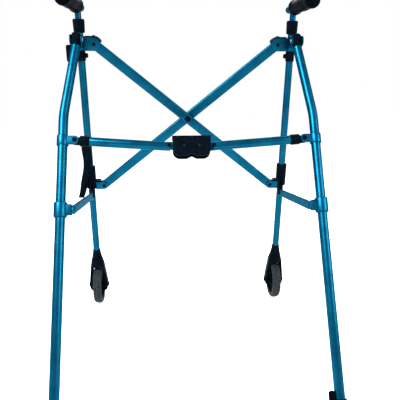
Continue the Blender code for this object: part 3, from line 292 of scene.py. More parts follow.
def from_bmesh(work, name, at):
    bmesh.ops.recalc_face_normals(work, faces=work.faces)
    mesh = bpy.data.meshes.new(name)
    work.to_mesh(mesh)
    work.free()
    return put(mesh, name, at)


def baked(made):
    """The object with its modifiers made real."""
    bpy.context.view_layer.update()
    graph = bpy.context.evaluated_depsgraph_get()
    mesh = bpy.data.meshes.new_from_object(made.evaluated_get(graph))
    made.modifiers.clear()
    old, made.data = made.data, mesh
    if old.users == 0:
        bpy.data.meshes.remove(old)
    return made


def block(low, high, at):
    low, high = Vector(low), Vector(high)
    work = bmesh.new()
    bmesh.ops.create_cube(work, size=1)
    bmesh.ops.scale(work, vec=[abs(b - a) for a, b in zip(low, high)], verts=work.verts)
    bmesh.ops.translate(work, vec=(low + high) / 2, verts=work.verts)
    return from_bmesh(work, "block", at)


def rod(radius, start, end, at, sides=40):
    start, end = Vector(start), Vector(end)
    turn = (end - start).to_track_quat("Z", "Y").to_matrix().to_4x4()
    work = bmesh.new()
    bmesh.ops.create_cone(work, cap_ends=True, segments=sides, radius1=radius, radius2=radius,
                          depth=(end - start).length, matrix=Matrix.Translation((start + end) / 2) @ turn)
    return from_bmesh(work, "rod", at)


def column(radius, low, high, at):
    """A rod along Z."""
    return rod(radius, (0, 0, low), (0, 0, high), at, FINE)


def across(axis, radius, reach, spot, at):
    """A rod along X or Y that reaches as far to both sides of a spot."""
    push = reach * Vector((axis == "X", axis == "Y", 0))
    return rod(radius, Vector(spot) - push, Vector(spot) + push, at)


def in_mm(rows):
    return [(a * MM, b * MM) for a, b in rows]


def turned(profile, at, steps=FINE, loop=False):
    """A (radius, height) profile, spun round Z."""
    work = bmesh.new()
    points = [work.verts.new((r, 0, z)) for r, z in profile]
    edges = [work.edges.new(pair) for pair in zip(points, points[1:])]
    if loop:
        edges.append(work.edges.new((points[-1], points[0])))
    bmesh.ops.spin(work, geom=points + edges, cent=(0, 0, 0), axis=(0, 0, 1), angle=math.tau, steps=steps,
                   use_merge=True)
    bmesh.ops.remove_doubles(work, verts=work.verts, dist=1e-6)
    return from_bmesh(work, "turned", at)


def plate(outline, low, high, plane, at):
    """A flat outline in the XZ or YZ plane, from low to high along the third axis."""
    work = bmesh.new()
    low, high = min(low, high), max(low, high)
    if plane == "XZ":
        rim, push = [(a, low, b) for a, b in outline], (0, high - low, 0)
    else:
        rim, push = [(low, a, b) for a, b in outline], (high - low, 0, 0)
    face = work.faces.new([work.verts.new(spot) for spot in rim])
    moved = bmesh.ops.extrude_face_region(work, geom=[face])["geom"]
    bmesh.ops.translate(work, vec=push, verts=[v for v in moved if isinstance(v, bmesh.types.BMVert)])
    return from_bmesh(work, "plate", at)


def swept(points, radius, at, sides=10):
    """A round tube along points."""
    curve = bpy.data.curves.new("swept", "CURVE")
    curve.dimensions = "3D"
    curve.bevel_depth = radius
    curve.bevel_resolution = sides
    curve.use_fill_caps = True
    line = curve.splines.new("POLY")
    line.points.add(len(points) - 1)
    for point, spot in zip(line.points, points):
        point.co = (*spot, 1)
    made = bpy.data.objects.new("swept", curve)
    bpy.context.scene.collection.objects.link(made)
    bpy.context.view_layer.update()
    mesh = bpy.data.meshes.new_from_object(made.evaluated_get(bpy.context.evaluated_depsgraph_get()))
    bpy.data.objects.remove(made)
    work = bmesh.new()
    work.from_mesh(mesh)
    bmesh.ops.remove_doubles(work, verts=work.verts, dist=1e-6)
    return from_bmesh(work, "swept", at)


def combined(target, helpers, operation):
    for helper in helpers:
        made = target.modifiers.new("shape", "BOOLEAN")
        made.operation = operation
        made.object = helper
    baked(target)
    for helper in helpers:
        bpy.data.objects.remove(helper)
    return target


def join(target, *helpers):
    return combined(target, helpers, "UNION")


def cut(target, *helpers):
    return combined(target, helpers, "DIFFERENCE")


def soften(target, width, segments=3, angle=38):
    """Rounds what is left sharp, as a mould or a press does."""
    made = target.modifiers.new("edge", "BEVEL")
    made.width = width
    made.segments = segments
    made.limit_method = "ANGLE"
    made.angle_limit = math.radians(angle)
    made.harden_normals = False
    return baked(target)


def dress(target, name, look, body, *nodes):
    """Names a finished piece, gives it its look and lets it ride."""
    target.name = target.data.name = name
    target.data.materials.clear()
    target.data.materials.append(look)
    for face in target.data.polygons:
        face.use_smooth = True
    target.data.set_sharp_from_angle(angle=math.radians(40))
    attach(target, body)
    if nodes:
        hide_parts(*nodes)
    return target


def arc(centre, radius, first, last, steps=14):
    turn = [math.radians(first + (last - first) * i / steps) for i in range(steps + 1)]
    return [(centre[0] + radius * math.cos(t), centre[1] + radius * math.sin(t)) for t in turn]


def strap(first, last, radius, last_radius=None, steps=16):
    last_radius = last_radius or radius
    heading = math.degrees(math.atan2(last[1] - first[1], last[0] - first[0]))
    tail = arc(first, radius, heading + 90, heading + 270, steps)
    return tail + arc(last, last_radius, heading - 90, heading + 90, steps)


def mirrored(outline, side):
    return [(side * a, b) for a, b in outline]


def rounded(corners, radius, steps=5):
    """A (radius, height) profile with its inner corners rounded."""
    out = [corners[0]]
    for before, here, after in zip(corners, corners[1:], corners[2:]):
        here, back, ahead = Vector(here), Vector(before), Vector(after)
        reach = min(radius, (back - here).length * 0.45, (ahead - here).length * 0.45)
        start = here + (back - here).normalized() * reach
        end = here + (ahead - here).normalized() * reach
        for i in range(steps + 1):
            t = i / steps
            out.append(tuple((1 - t) ** 2 * start + 2 * t * (1 - t) * here + t * t * end))
    return out + [corners[-1]]


def pin_head(radius, height, at, look, name, body):
    """A domed head."""
    profile = [(0, height), (0.55 * radius, 0.96 * height), (0.85 * radius, 0.72 * height),
               (radius, 0.3 * height), (radius, 0), (0, 0)]
    return dress(turned(rounded(profile, 0.2 * radius), at, 32), name, look, body)


def headed_pin(radius, half, head_radius, head, at):
    """A pin along Z with a domed head at both ends."""
    upper = [(0, half + head), (0.5 * head_radius, half + 0.95 * head),
             (0.86 * head_radius, half + 0.6 * head), (head_radius, half + 0.15 * head), (head_radius, half),
             (radius, half)]
    return turned(upper + [(r, -z) for r, z in reversed(upper)], at, 36)


# Wheels and forks
def make_wheel(side, word):
    """A tyre with two grooves, on a hub with four windows and four ribs."""
    body = f"{word}_wheel"
    at = shifted(front_frame(side), 0, 0, AXLE_HEIGHT) @ along("X")
    half, bead = 12.5 * MM, WHEEL_RADIUS - 11.5 * MM
    crown = [(bead, 0.8 * half), (bead + 2 * MM, 0.97 * half), (bead + 4.5 * MM, half),
             (bead + 7 * MM, 0.97 * half)]
    tread = [(-2.6, 0.84), (-1.1, 0.66), (-0.4, 0.5), (-1.2, 0.46), (-1.2, 0.38), (-0.1, 0.33), (0, 0.15)]
    crown += [(WHEEL_RADIUS + depth * MM, share * half) for depth, share in tread]
    profile = crown + [(r, -z) for r, z in reversed(crown)]
    dress(turned(profile, at, 96, loop=True), f"tyre_{word}_tread", TREAD, body, f"tyre_{word}")
    outer = bead - GAP
    rim = outer - 3.7 * MM
    boss_radius, boss, web, corner = 12 * MM, 13.5 * MM, 3 * MM, 1.5 * MM
    upper = [(BOLT_HOLE, boss), (9 * MM, boss), (boss_radius, boss - corner), (boss_radius, web + corner),
             (boss_radius + corner, web), (rim - corner, web), (rim, web + corner), (rim, 9.2 * MM),
             (rim + 0.8 * MM, 10 * MM), (outer, 10 * MM)]
    hub = turned(upper + [(r, -z) for r, z in reversed(upper)], at, 72, loop=True)
    windows, window_radius, window_reach, rib_half = 4, 8 * MM, 27 * MM, 1.6 * MM
    for i in range(windows):
        turn = math.tau * i / windows
        spot = Vector((window_reach * math.cos(turn), window_reach * math.sin(turn), 0))
        cut(hub, rod(window_radius, spot - Vector((0, 0, boss)), spot + Vector((0, 0, boss)), at))
    for i in range(windows):
        turn = math.tau * (i + 0.5) / windows
        join(hub, block((11 * MM, -rib_half, -7.5 * MM), (rim + 1 * MM, rib_half, 7.5 * MM),
                        at @ Matrix.Rotation(turn, 4, "Z")))
    dress(soften(hub, 0.6 * MM, 2), f"hub_{word}_moulding", NYLON, body, f"hub_{word}")


def make_fork(side, word):
    """A cone that opens over the wheel into two legs, thickest at the axle."""
    at = front_frame(side)
    body = f"{word}_side"
    low = WHEEL_RADIUS + AXLE_HEIGHT + 6 * MM
    shoulder, top, neck, wide = low + 16 * MM, 180 * MM, 11.4 * MM, 19.5 * MM
    rows = [(0, top), (neck - 1 * MM, top), (neck, top - 1 * MM), (neck, top - 8 * MM),
            (14.6 * MM, top - 24 * MM), (wide - 0.6 * MM, shoulder + 3 * MM), (wide, shoulder - 2 * MM),
            (wide, low + 3 * MM), (wide - 3 * MM, low), (0, low)]
    fork = turned(rounded(rows, 3 * MM, 4), at)
    leg_half = 12 * MM
    join(fork, *[soften(plate(mirrored(in_mm(FORK_LEG), way), -leg_half, leg_half, "XZ", at), 4 * MM, 5, 30)
                 for way in (-1, 1)])
    cut(fork, column(TUBE_HOLE, TUBE_LOW - GAP, top + 3 * MM, at),
        across("X", BOLT_HOLE, 42 * MM, (0, 0, AXLE_HEIGHT), at))
    dress(fork, f"fork_{word}_moulding", NYLON, body, f"fork_{word}")
    outer = max(x for x, _ in FORK_LEG) * MM
    bolt = headed_pin(BOLT, outer + GAP, 8 * MM, 2.5 * MM, shifted(at, 0, 0, AXLE_HEIGHT) @ along("X"))
    dress(bolt, f"axle_{word}_cap", NYLON, body, f"axle_{word}")


# Front tube, its collars and the handle
def make_front_tube(side, word):
    """The thin tube and the stepped collar on its top, where the handle's post enters."""
    at = front_frame(side)
    inner, edge = TUBE_RADIUS - 1.2 * MM, 0.3 * MM
    tube = turned([(inner, TUBE_HIGH), (TUBE_RADIUS - edge, TUBE_HIGH), (TUBE_RADIUS, TUBE_HIGH - edge),
                   (TUBE_RADIUS, TUBE_LOW), (inner, TUBE_LOW)], at, loop=True)
    dress(tube, f"front_tube_{word}_lacquered", PAINT, f"{word}_side", f"front_tube_{word}")
    post_hole, step, high, low = POST_RADIUS + GAP, TUBE_HIGH + GAP, 833 * MM, 799 * MM
    collar = [(post_hole, high), (12.6 * MM, high), (15 * MM, high - 3 * MM), (14.6 * MM, 812 * MM),
              (14 * MM, low + 2 * MM), (12.5 * MM, low), (TUBE_HOLE, low), (TUBE_HOLE, step),
              (post_hole, step)]
    made = turned(rounded(collar + collar[:1], 1 * MM, 3)[1:-1] + collar[:1], at, loop=True)
    dress(made, f"post_collar_{word}_moulding", NYLON, f"{word}_side", f"post_collar_{word}")


def make_lock(side, word):
    """The collar under the bracket, with the knob that pulls a stem out of the tube's hole."""
    at = front_frame(side)
    level, half, boss_end = 743.7 * MM, 13 * MM, 12.2 * MM
    collar = soften(column(11.5 * MM, level - half, level + half, at), 1.2 * MM)
    join(collar, soften(rod(7 * MM, (0, 0, level), (-side * boss_end, 0, level), at), 0.6 * MM))
    cut(collar, column(TUBE_HOLE, level - 20 * MM, level + 20 * MM, at),
        rod(2.8 * MM, (0, 0, level), (-side * 20 * MM, 0, level), at))
    dress(collar, f"lock_collar_{word}_moulding", NYLON, f"{word}_side", f"lock_collar_{word}")
    spot = shifted(at, 0, 0, level) @ Matrix.Rotation(-side * math.pi / 2, 4, "Y")
    knob = turned(in_mm([(0, 17.1), (3, 17.3), (5, 17.5), (6, 16.5), (6, 12.9), (5.6, 12.5), (2.5, 12.5),
                         (2.5, 8.6), (0, 8.6)]), spot, 48)
    flutes = 12
    for corner in knob.data.vertices:
        if math.hypot(corner.co.x, corner.co.y) > 5.8 * MM:
            swing = math.cos(flutes * math.atan2(corner.co.y, corner.co.x))
            corner.co.xy *= 1 - 0.05 * (swing < 0)
    dress(knob, f"height_knob_{word}_moulding", NYLON, f"{word}_knob", f"height_knob_{word}")


def make_handle(side, word):
    """A tube that bends back from the post, with a waisted grip over it."""
    body = f"{word}_handle"
    y = FRONT_Y - HANDLE_HEIGHT * math.tan(FRONT_RAKE)
    level = Matrix.Translation((side * HALF_TRACK, y, HANDLE_HEIGHT))
    level = level @ Matrix.Rotation(side * GRIP_SPLAY, 4, "Z")
    radius, back = 10, 130.7
    nose = [(radius * math.sin(t), 31 + 9 * math.cos(t)) for t in [math.radians(9 * i) for i in range(11)]]
    nose += [(radius, -back), (0, -back)]
    handle = turned(in_mm(nose), level @ Matrix.Rotation(-math.pi / 2, 4, "X"), 48)
    join(handle, rod(POST_RADIUS, (0, 0, 600 * MM), (0, 0, HANDLE_HEIGHT / math.cos(FRONT_RAKE)),
                     front_frame(side), 48))
    dress(handle, f"handle_post_{word}_lacquered", PAINT, body, f"handle_post_{word}")
    sections = [(10.3, 11), (15, 11), (18.4, 12.2), (19.5, 15), (19.5, 20.5), (18.6, 24), (17.2, 29),
                (16.6, 35), (16.7, 48), (17.4, 62), (18, 73), (17.6, 88), (16.7, 101), (16.6, 110),
                (17.3, 117), (18.4, 123), (18.6, 127), (18, 131), (16.4, 133.8), (13.5, 135), (0, 135),
                (0, 131), (10.3, 131)]
    grip = turned(in_mm(reversed(sections)), level @ Matrix.Rotation(math.pi / 2, 4, "X"), 64)
    for corner in grip.data.vertices:  # a little oval between the flanges
        if math.hypot(corner.co.x, corner.co.y) > 12 * MM and 30 * MM < corner.co.z < 118 * MM:
            corner.co.xy *= 1 + 0.02 * math.cos(2 * math.atan2(corner.co.y, corner.co.x))
    dress(grip, f"grip_{word}_moulding", RUBBER, body, f"grip_{word}")


# Top bracket
def make_bracket(side, word):
    """Sleeve on the front tube, two cheeks beside the leg's cap and two plates beside the brace bar's end."""
    at = front_frame(side)
    body = f"{word}_side"
    layer = bar_layer(side)
    cheek_in, cheek_out, cheek_radius, end_radius = 12.3 * MM, 14.9 * MM, 13 * MM, 16.5 * MM
    pivot = at.inverted() @ rear_frame(side).translation
    middle = (BRACKET_LOW + BRACKET_HIGH) / 2
    bracket = soften(column(cheek_radius, BRACKET_LOW, BRACKET_HIGH, at), 0.8 * MM)
    shape = strap((pivot.y, pivot.z), (0, middle), cheek_radius)
    parts = [soften(plate(shape, way * cheek_in, way * cheek_out, "YZ", at), 0.6 * MM) for way in (-1, 1)]
    centre, start = (-BRACE_INSET, BRACE_UPPER), -cheek_in - 0.5 * MM
    outline = [(start, BRACE_UPPER - end_radius), (start, BRACE_UPPER + end_radius)]
    outline += arc(centre, end_radius, 90, 270, 24)
    for way in (-1, 1):
        inner = layer + way * CHANNEL
        parts.append(soften(plate(mirrored(outline, side), inner, inner + way * PLATE, "XZ", at), 0.7 * MM))
    join(bracket, *parts)
    brace_pivot = (-side * BRACE_INSET, layer, BRACE_UPPER)
    cut(bracket, column(TUBE_HOLE, BRACKET_LOW - 5 * MM, BRACKET_HIGH + 5 * MM, at),
        across("Y", BRACE_PIN_HOLE, 20 * MM, brace_pivot, at),
        across("X", PIN_HOLE, 30 * MM, (0, pivot.y, pivot.z), at))
    dress(bracket, f"top_bracket_{word}_lacquered", BAR_PAINT, body, f"top_bracket_{word}")
    half = CHANNEL + PLATE
    pin = headed_pin(BRACE_PIN, half + GAP, *PIN_HEAD, shifted(at, *brace_pivot) @ along("Y"))
    dress(pin, f"upper_brace_pin_{word}_cap", NYLON, body, f"upper_brace_pin_{word}")
    pin = headed_pin(PIN, cheek_out + GAP, *PIN_HEAD, shifted(at, *pivot) @ along("X"))
    dress(pin, f"leg_pivot_pin_{word}_plated", ZINC, body, f"leg_pivot_pin_{word}")
    inner, outer, start, last = end_radius + GAP, end_radius + 3.3 * MM, -16 * MM, 163
    outline = [(start, BRACE_UPPER + inner), (start, BRACE_UPPER + outer)]
    outline += arc((-BRACE_INSET, BRACE_UPPER + outer - 0.4 * MM), 2.5 * MM, 0, 180, 10)
    outline += arc(centre, outer, 98, last, 14) + arc(centre, inner, last, 90, 14)
    cover = soften(plate(mirrored(outline, side), layer - half, layer + half, "XZ", at), 0.6 * MM)
    dress(cover, f"bracket_cover_{word}_moulding", NYLON, body, f"bracket_cover_{word}")


def make_bumper():
    """The black pad beside the left leg's top."""
    start, reach = -15.5 * MM, 15.5 * MM
    made = block((start, -40 * MM, 730 * MM), (start - reach, -28 * MM, 772 * MM), front_frame(LEFT))
    dress(soften(made, 5 * MM, 6), "bumper_left_moulding", NYLON, "left_side", "bumper_left")


# Scissor brace
def make_brace(side, word):
    """Flat-sided bar with rounded edges, a little narrower towards its lower pivot."""
    at = brace_frame(side)
    half = BAR_DEPTH / 2
    outline = strap((0, 0), (BRACE_LENGTH, 0), *BRACE_HALF_HEIGHT, 24)
    bar = soften(plate(outline, -half, half, "XZ", at), 3.4 * MM, 4)
    for reach, radius in ((0, BRACE_PIN_HOLE), (BRACE_LENGTH / 2, BOLT_HOLE), (BRACE_LENGTH, BRACE_PIN_HOLE)):
        cut(bar, across("Y", radius, 20 * MM, (reach, 0, 0), at))
    dress(bar, f"brace_bar_{word}_lacquered", BAR_PAINT, f"{word}_brace", f"brace_bar_{word}")


def make_centre_bolt():
    """The bolt where the two bars cross."""
    spot = shifted(brace_frame(LEFT), BRACE_LENGTH / 2, BAR_DEPTH / 2 + GAP, 0) @ along("Y")
    bolt = headed_pin(BOLT, BAR_DEPTH + 2 * GAP, 8 * MM, 3.5 * MM, spot)
    dress(bolt, "brace_center_bolt_cap", NYLON, "left_brace", "brace_center_bolt")


def make_collar(side, word):
    """The black collar that slides on the front tube, with shoe, ledge and link lugs, and its blue clevis."""
    at = front_frame(side)
    body = f"{word}_collar"
    layer, half = bar_layer(-side), CHANNEL + PLATE
    collar = soften(column(COLLAR_RADIUS, COLLAR_LOW, COLLAR_HIGH, at), 2 * MM, 4)
    shoe_start, shoe_end = 8.8 * MM, 15 * MM
    ledge_start, ledge_end, ledge = 15.5 * MM, 28.5 * MM, BRACE_LOWER + 12.5 * MM
    parts = [soften(block((-side * shoe_start, layer - half, COLLAR_LOW + 0.4 * MM),
                          (-side * shoe_end, max(layer + half, 0), ledge + 3 * MM), at), 1 * MM),
             soften(block((-side * ledge_start, layer - half + 0.2 * MM, ledge),
                          (-side * ledge_end, layer + half - 0.2 * MM, ledge + 2.8 * MM), at), 1 * MM)]
    pivot, root = (-LINK_BEHIND, BRACE_LOWER - LINK_BELOW), (-COLLAR_RADIUS, COLLAR_LOW + 7.5 * MM)
    for way in (-1, 1):
        edge = LINK_INSET + way * 3 * MM
        slab = (-side * edge, -side * (edge + way * 3.3 * MM))
        parts.append(soften(plate(strap(pivot, root, 7.5 * MM), *slab, "YZ", at), 0.5 * MM))
    ends = [(-side * (LINK_INSET + way * 5.9 * MM), *pivot) for way in (-1, 1)]
    parts.append(rod(PIN, *ends, at))
    if side == LEFT:
        parts.append(soften(rod(PIN, (-10.5 * MM, *LEVER_PIVOT), (-20.6 * MM, *LEVER_PIVOT), at), 0.5 * MM))
    join(collar, *parts)
    cut(collar, column(COLLAR_BORE, COLLAR_LOW - 50 * MM, COLLAR_HIGH + 5 * MM, at))
    dress(collar, f"slide_collar_{word}_moulding", NYLON, body, f"slide_collar_{word}")
    base, radius = shoe_end + GAP, 10.5 * MM
    low, high = BRACE_LOWER - radius, BRACE_LOWER + radius
    clevis = block((-side * base, layer - half, low), (-side * (base + 3.2 * MM), layer + half, high), at)
    outline = [(-base - 1 * MM, low + 0.2 * MM), (-base - 1 * MM, high - 0.2 * MM)]
    outline += arc((-BRACE_INSET, BRACE_LOWER), radius - 0.2 * MM, 90, 270, 20)
    shape, cheek = mirrored(outline, side), 3 * MM
    join(clevis, *[plate(shape, layer + way * CHANNEL, layer + way * (CHANNEL + cheek), "XZ", at)
                   for way in (-1, 1)])
    soften(clevis, 0.5 * MM, 2)
    spot = (-side * BRACE_INSET, layer, BRACE_LOWER)
    cut(clevis, across("Y", BRACE_PIN_HOLE, 20 * MM, spot, at))
    dress(clevis, f"collar_clevis_{word}_lacquered", BAR_PAINT, body, f"collar_clevis_{word}")
    pin = headed_pin(BRACE_PIN, half + GAP, *PIN_HEAD, shifted(at, *spot) @ along("Y"))
    dress(pin, f"lower_brace_pin_{word}_cap", NYLON, body, f"lower_brace_pin_{word}")


def make_link(side, word):
    """Flat bar from the slide collar back to the rear leg, with its bolt."""
    at = link_frame(side)
    ahead, behind = link_ends(side)
    length, half = (behind - ahead).length, 2.5 * MM
    link = soften(plate(strap((-length, 0), (0, 0), 10 * MM), -half, half, "YZ", at), 1 * MM)
    head = rod(6 * MM, (0, -length, 0), (-side * (half + 4 * MM), -length, 0), at, 32)
    join(link, soften(head, 1 * MM))
    cut(link, across("X", PIN_HOLE, 5 * MM, (0, 0, 0), at))
    dress(link, f"side_link_{word}_painted", LINK_PAINT, f"{word}_link", f"side_link_{word}")


def make_lever():
    """A bent plate behind the tube and collar, with a pad near the tube and an ear on the collar's pin."""
    at = front_frame(LEFT)
    front, pad_half = -15 * MM, 8 * MM
    rows = [(BRACE_LOWER + level * MM, middle * MM, half * MM) for level, middle, half in LEVER_SHAPE]
    outline = [(m + h, level) for level, m, h in rows] + [(m - h, level) for level, m, h in reversed(rows)]
    lever = soften(plate(outline, front - 5 * MM, front, "XZ", at), 2 * MM, 4, 30)
    pad = block((-pad_half, front - 2 * MM, BRACE_LOWER + 62 * MM),
                (pad_half, -COLLAR_BORE, BRACE_LOWER + 138 * MM), at)
    shape = strap((front - 4.5 * MM, LEVER_PIVOT[1]), LEVER_PIVOT, 6.5 * MM)
    ear = plate(shape, front, front - 5.6 * MM, "YZ", at)
    join(lever, soften(pad, 2 * MM), soften(ear, 0.8 * MM))
    cut(lever, rod(PIN_HOLE, (-13.5 * MM, *LEVER_PIVOT), (-37 * MM, *LEVER_PIVOT), at))
    dress(lever, "release_lever_moulding", NYLON, "lever", "release_lever")


# Rear leg, cap, rings and foot
def leg_path(side):
    """Outward from the pivot, round the bend, then straight down."""
    start = Vector((0, 0, -LEG_TOP))
    bend = Vector((side * LEG_OUTSET, 0, -LEG_BEND))
    end = Vector((side * LEG_OUTSET, 0, LEG_FLOOR + 14 * MM))
    sweep = 260 * MM
    lean = math.atan2(LEG_OUTSET, LEG_BEND - LEG_TOP)
    back = sweep * math.tan(lean / 2)
    centre = Vector((side * (LEG_OUTSET - sweep), 0, -LEG_BEND - back))
    points = [start, bend + (start - bend).normalized() * back]
    steps = 16
    for i in range(1, steps + 1):
        turn = lean * (1 - i / steps)
        points.append(centre + sweep * Vector((side * math.cos(turn), 0, math.sin(turn))))
    return points + [end]


def make_leg(side, word):
    """The bent leg and the ridged cap that closes its top."""
    at = rear_frame(side)
    body = f"{word}_leg"
    leg = swept(leg_path(side), LEG_RADIUS, at, 14)
    dress(leg, f"rear_leg_{word}_lacquered", PAINT, body, f"rear_leg_{word}")
    ridges, half = 16, 17.5 * MM
    cap = turned(in_mm([(0, 17.5), (6, 17.5), (9.4, 16.6), (11.2, 14.9), (12, 13), (12, -14.1), (11, -15.5),
                        (0, -15.5)]), at, 8 * ridges)
    for corner in cap.data.vertices:
        if math.hypot(corner.co.x, corner.co.y) > 11 * MM and abs(corner.co.z) < half - 3 * MM:
            swing = math.cos(ridges * math.atan2(corner.co.y, corner.co.x))
            corner.co.xy *= 1 - 0.07 * max(0, -swing)
    cut(cap, across("X", PIN_HOLE, 30 * MM, (0, 0, 0), at))
    dress(cap, f"leg_cap_{word}_moulding", NYLON, body, f"leg_cap_{word}")


def make_foot(side, word):
    """A low sleeve with a grooved rim, a tab inboard, and a sole cut level with the floor."""
    at = shifted(rear_frame(side), side * LEG_OUTSET, 0, LEG_FLOOR)
    foot = turned(in_mm([(0, 19), (13.5, 19), (14.5, 17.5), (14.5, 16.4), (13.9, 15.8), (13.9, 15.2),
                         (14.5, 14.6), (14.6, 13.8), (16, 10.5), (17.2, 8), (17.5, 5), (17.5, -17.5),
                         (0, -17.5)]), at, 64)
    tab_half, wide = 6.5 * MM, 80 * MM
    tab = block((-side * 9.1 * MM, -tab_half, 8 * MM), (-side * 24.1 * MM, tab_half, 36 * MM), at)
    join(foot, soften(tab, 6.4 * MM, 8))
    x, y, _ = at.translation
    cut(foot, column(LEG_BORE, 13.7 * MM, 72 * MM, at),
        block((x - wide, y - wide, -wide), (x + wide, y + wide, 0), Matrix()))
    dress(foot, f"foot_{word}_moulding", RUBBER, f"{word}_leg", f"foot_{word}")


def make_rings(side, word):
    """The upper ring with the folding bar's ear and bolt, and the lower ring with the link's lug."""
    at = rear_frame(side)
    body = f"{word}_leg"
    on_leg = shifted(at, side * LEG_OUTSET, 0, 0)
    half = 12 * MM
    upper = soften(column(13.6 * MM, -UPPER_RING - half, -UPPER_RING + half, on_leg), 1.2 * MM)
    ear_back, ear_front = -8 * MM, -1 * MM
    shape = mirrored(strap((EAR_X, -UPPER_RING), (LEG_OUTSET - 5 * MM, -UPPER_RING), 10 * MM), side)
    join(upper, soften(plate(shape, ear_back, ear_front, "XZ", at), 1 * MM))
    cut(upper, column(LEG_BORE, -UPPER_RING - 40 * MM, -UPPER_RING + 40 * MM, on_leg),
        across("Y", PIN_HOLE, 24 * MM, (side * EAR_X, 0, -UPPER_RING), at))
    dress(upper, f"upper_ring_{word}_lacquered", BAR_PAINT, body, f"upper_ring_{word}")
    bolt_end = ear_front + 0.5 * MM + TONGUE
    spot = shifted(at, side * EAR_X, (bolt_end + ear_back) / 2, -UPPER_RING) @ along("Y")
    bolt = headed_pin(PIN, (bolt_end - ear_back) / 2 + 0.5 * MM, 5.6 * MM, 2.6 * MM, spot)
    dress(bolt, f"ear_bolt_{word}_cap", NYLON, body, f"ear_bolt_{word}")
    half, lug_half, lug_depth = 17.5 * MM, 12.5 * MM, 7 * MM
    lower = soften(column(15 * MM, -LOWER_RING - half, -LOWER_RING + half, on_leg), 2.5 * MM, 4)
    lug = block((-side * (LINK_INSET - 3 * MM), -lug_depth, -LOWER_RING - lug_half),
                (side * LEG_OUTSET, lug_depth, -LOWER_RING + lug_half), at)
    join(lower, soften(lug, 2.5 * MM, 4))
    cut(lower, column(LEG_BORE, -LOWER_RING - 60 * MM, -LOWER_RING + 60 * MM, on_leg))
    dress(lower, f"lower_ring_{word}_lacquered", BAR_PAINT, body, f"lower_ring_{word}")


# Folding bar and housing
def make_half_bar(side, word):
    """A round bar with a black plug at the ear and a flattened end in the housing."""
    at = half_bar_frame(side)
    body = f"{word}_half_bar"
    back = -0.5 * MM
    plug = soften(rod(12.5 * MM, (11.5 * MM, 0, 0), (BAR_START, 0, 0), at, 48), 2.2 * MM, 4)
    tongue = plate(strap((0, 0), (17.5 * MM, 0), 9.2 * MM), back, back + TONGUE, "XZ", at)
    join(plug, soften(tongue, 0.8 * MM))
    cut(plug, across("Y", PIN_HOLE, 20 * MM, (0, 0, 0), at))
    dress(plug, f"bar_end_plug_{word}_moulding", NYLON, body, f"bar_end_plug_{word}")
    lap_start = HALF_BAR - LAP
    half = soften(rod(BAR_RADIUS, (BAR_START + GAP, 0, 0), (lap_start, 0, 0), at, 48), 1 * MM)
    shape = strap((lap_start - 6 * MM, 0), (HALF_BAR, 0), 9 * MM)
    join(half, soften(plate(shape, side * 0.5 * MM, side * 7.5 * MM, "XZ", at), 0.6 * MM))
    cut(half, across("Y", BOLT_HOLE, 20 * MM, (HALF_BAR, 0, 0), at))
    dress(half, f"half_bar_{word}_lacquered", PAINT, body, f"half_bar_{word}")
    spot = shifted(at, lap_start - 2 * MM, -10 * MM, 0) @ Matrix.Rotation(math.pi / 2, 4, "X")
    pin_head(4.8 * MM, 1.1 * MM, spot, NYLON, f"bar_rivet_{word}", body)


def make_housing():
    """Two walls with a shallow notch below, under a lid with a lip, on one trunnion."""
    at = housing_frame()
    top, wide, low, notch, corner = 24.5 * MM, 44.6 * MM, -24.5 * MM, 11 * MM, 17 * MM
    inner, outer, lip_x, lip_y = 11.3 * MM, 14 * MM, 46 * MM, 14.8 * MM
    right = [(notch * t, low + 5.5 * MM * math.cos(math.pi / 2 * t) ** 1.4) for t in (0, 0.25, 0.5, 0.75)]
    right += [(notch + 1.5 * MM, low)] + arc((wide - corner, low + corner), corner, -90, 0, 20)
    right.append((wide, top - 0.3 * MM))
    wall = right + [(-x, z) for x, z in reversed(right)][:-1]
    housing = soften(block((-lip_x, -lip_y, top - 2.7 * MM), (lip_x, lip_y, top), at), 1 * MM)
    parts = [plate(wall, way * inner, way * outer, "XZ", at) for way in (-1, 1)]
    trunnion = [(-HOUSING_PIVOT, y, 0) for y in (-outer + 0.5 * MM, -GAP)]
    join(housing, *parts, rod(BOLT, *trunnion, at))
    dress(soften(housing, 0.4 * MM, 2), "centre_housing_moulding", NYLON, "housing", "centre_housing")
    for side, word in SIDES.items():
        spot = shifted(at, side * HOUSING_PIVOT, -outer, 0) @ Matrix.Rotation(math.pi / 2, 4, "X")
        pin_head(3 * MM, 0.6 * MM, spot, PLUG, f"housing_mark_{word}", "housing")


for one_side, one_word in SIDES.items():
    for make in (make_wheel, make_fork, make_front_tube, make_lock, make_handle, make_bracket, make_brace,
                 make_collar, make_link, make_leg, make_foot, make_rings, make_half_bar):
        make(one_side, one_word)
for make in (make_bumper, make_centre_bolt, make_lever, make_housing):
    make()


# Studio: pale floor, soft light, the photograph's view
WORLD_LIGHT = 0.5
FLOOR_LIFT = 0.56
AIM = (0, 0, 0.45)
LAMPS = {  # place, size in metres and power in watts
    "key": ((-1.6, -1.2, 2.3), (1.3, 1.0), 130),
    "fill": ((1.9, -1.0, 1.3), (1.0, 1.2), 40),
    "back": ((0.3, 2.0, 2.0), (1.6, 0.8), 50)}
FOCAL_PIXELS, PICTURE_PIXELS, SENSOR = 468, 400, 36  # the camera fitted to the photograph


def seen_directly(tree):
    """1 for what the camera, a reflection or glass sees, 0 for light that falls on things."""
    path = add(tree, "ShaderNodeLightPath")
    seen = add(tree, "ShaderNodeMath", {"operation": "MAXIMUM"},
               {0: path.outputs["Is Camera Ray"], 1: path.outputs["Is Glossy Ray"]})
    return add(tree, "ShaderNodeMath", {"operation": "MAXIMUM"},
               {0: seen.outputs["Value"], 1: path.outputs["Is Transmission Ray"]})


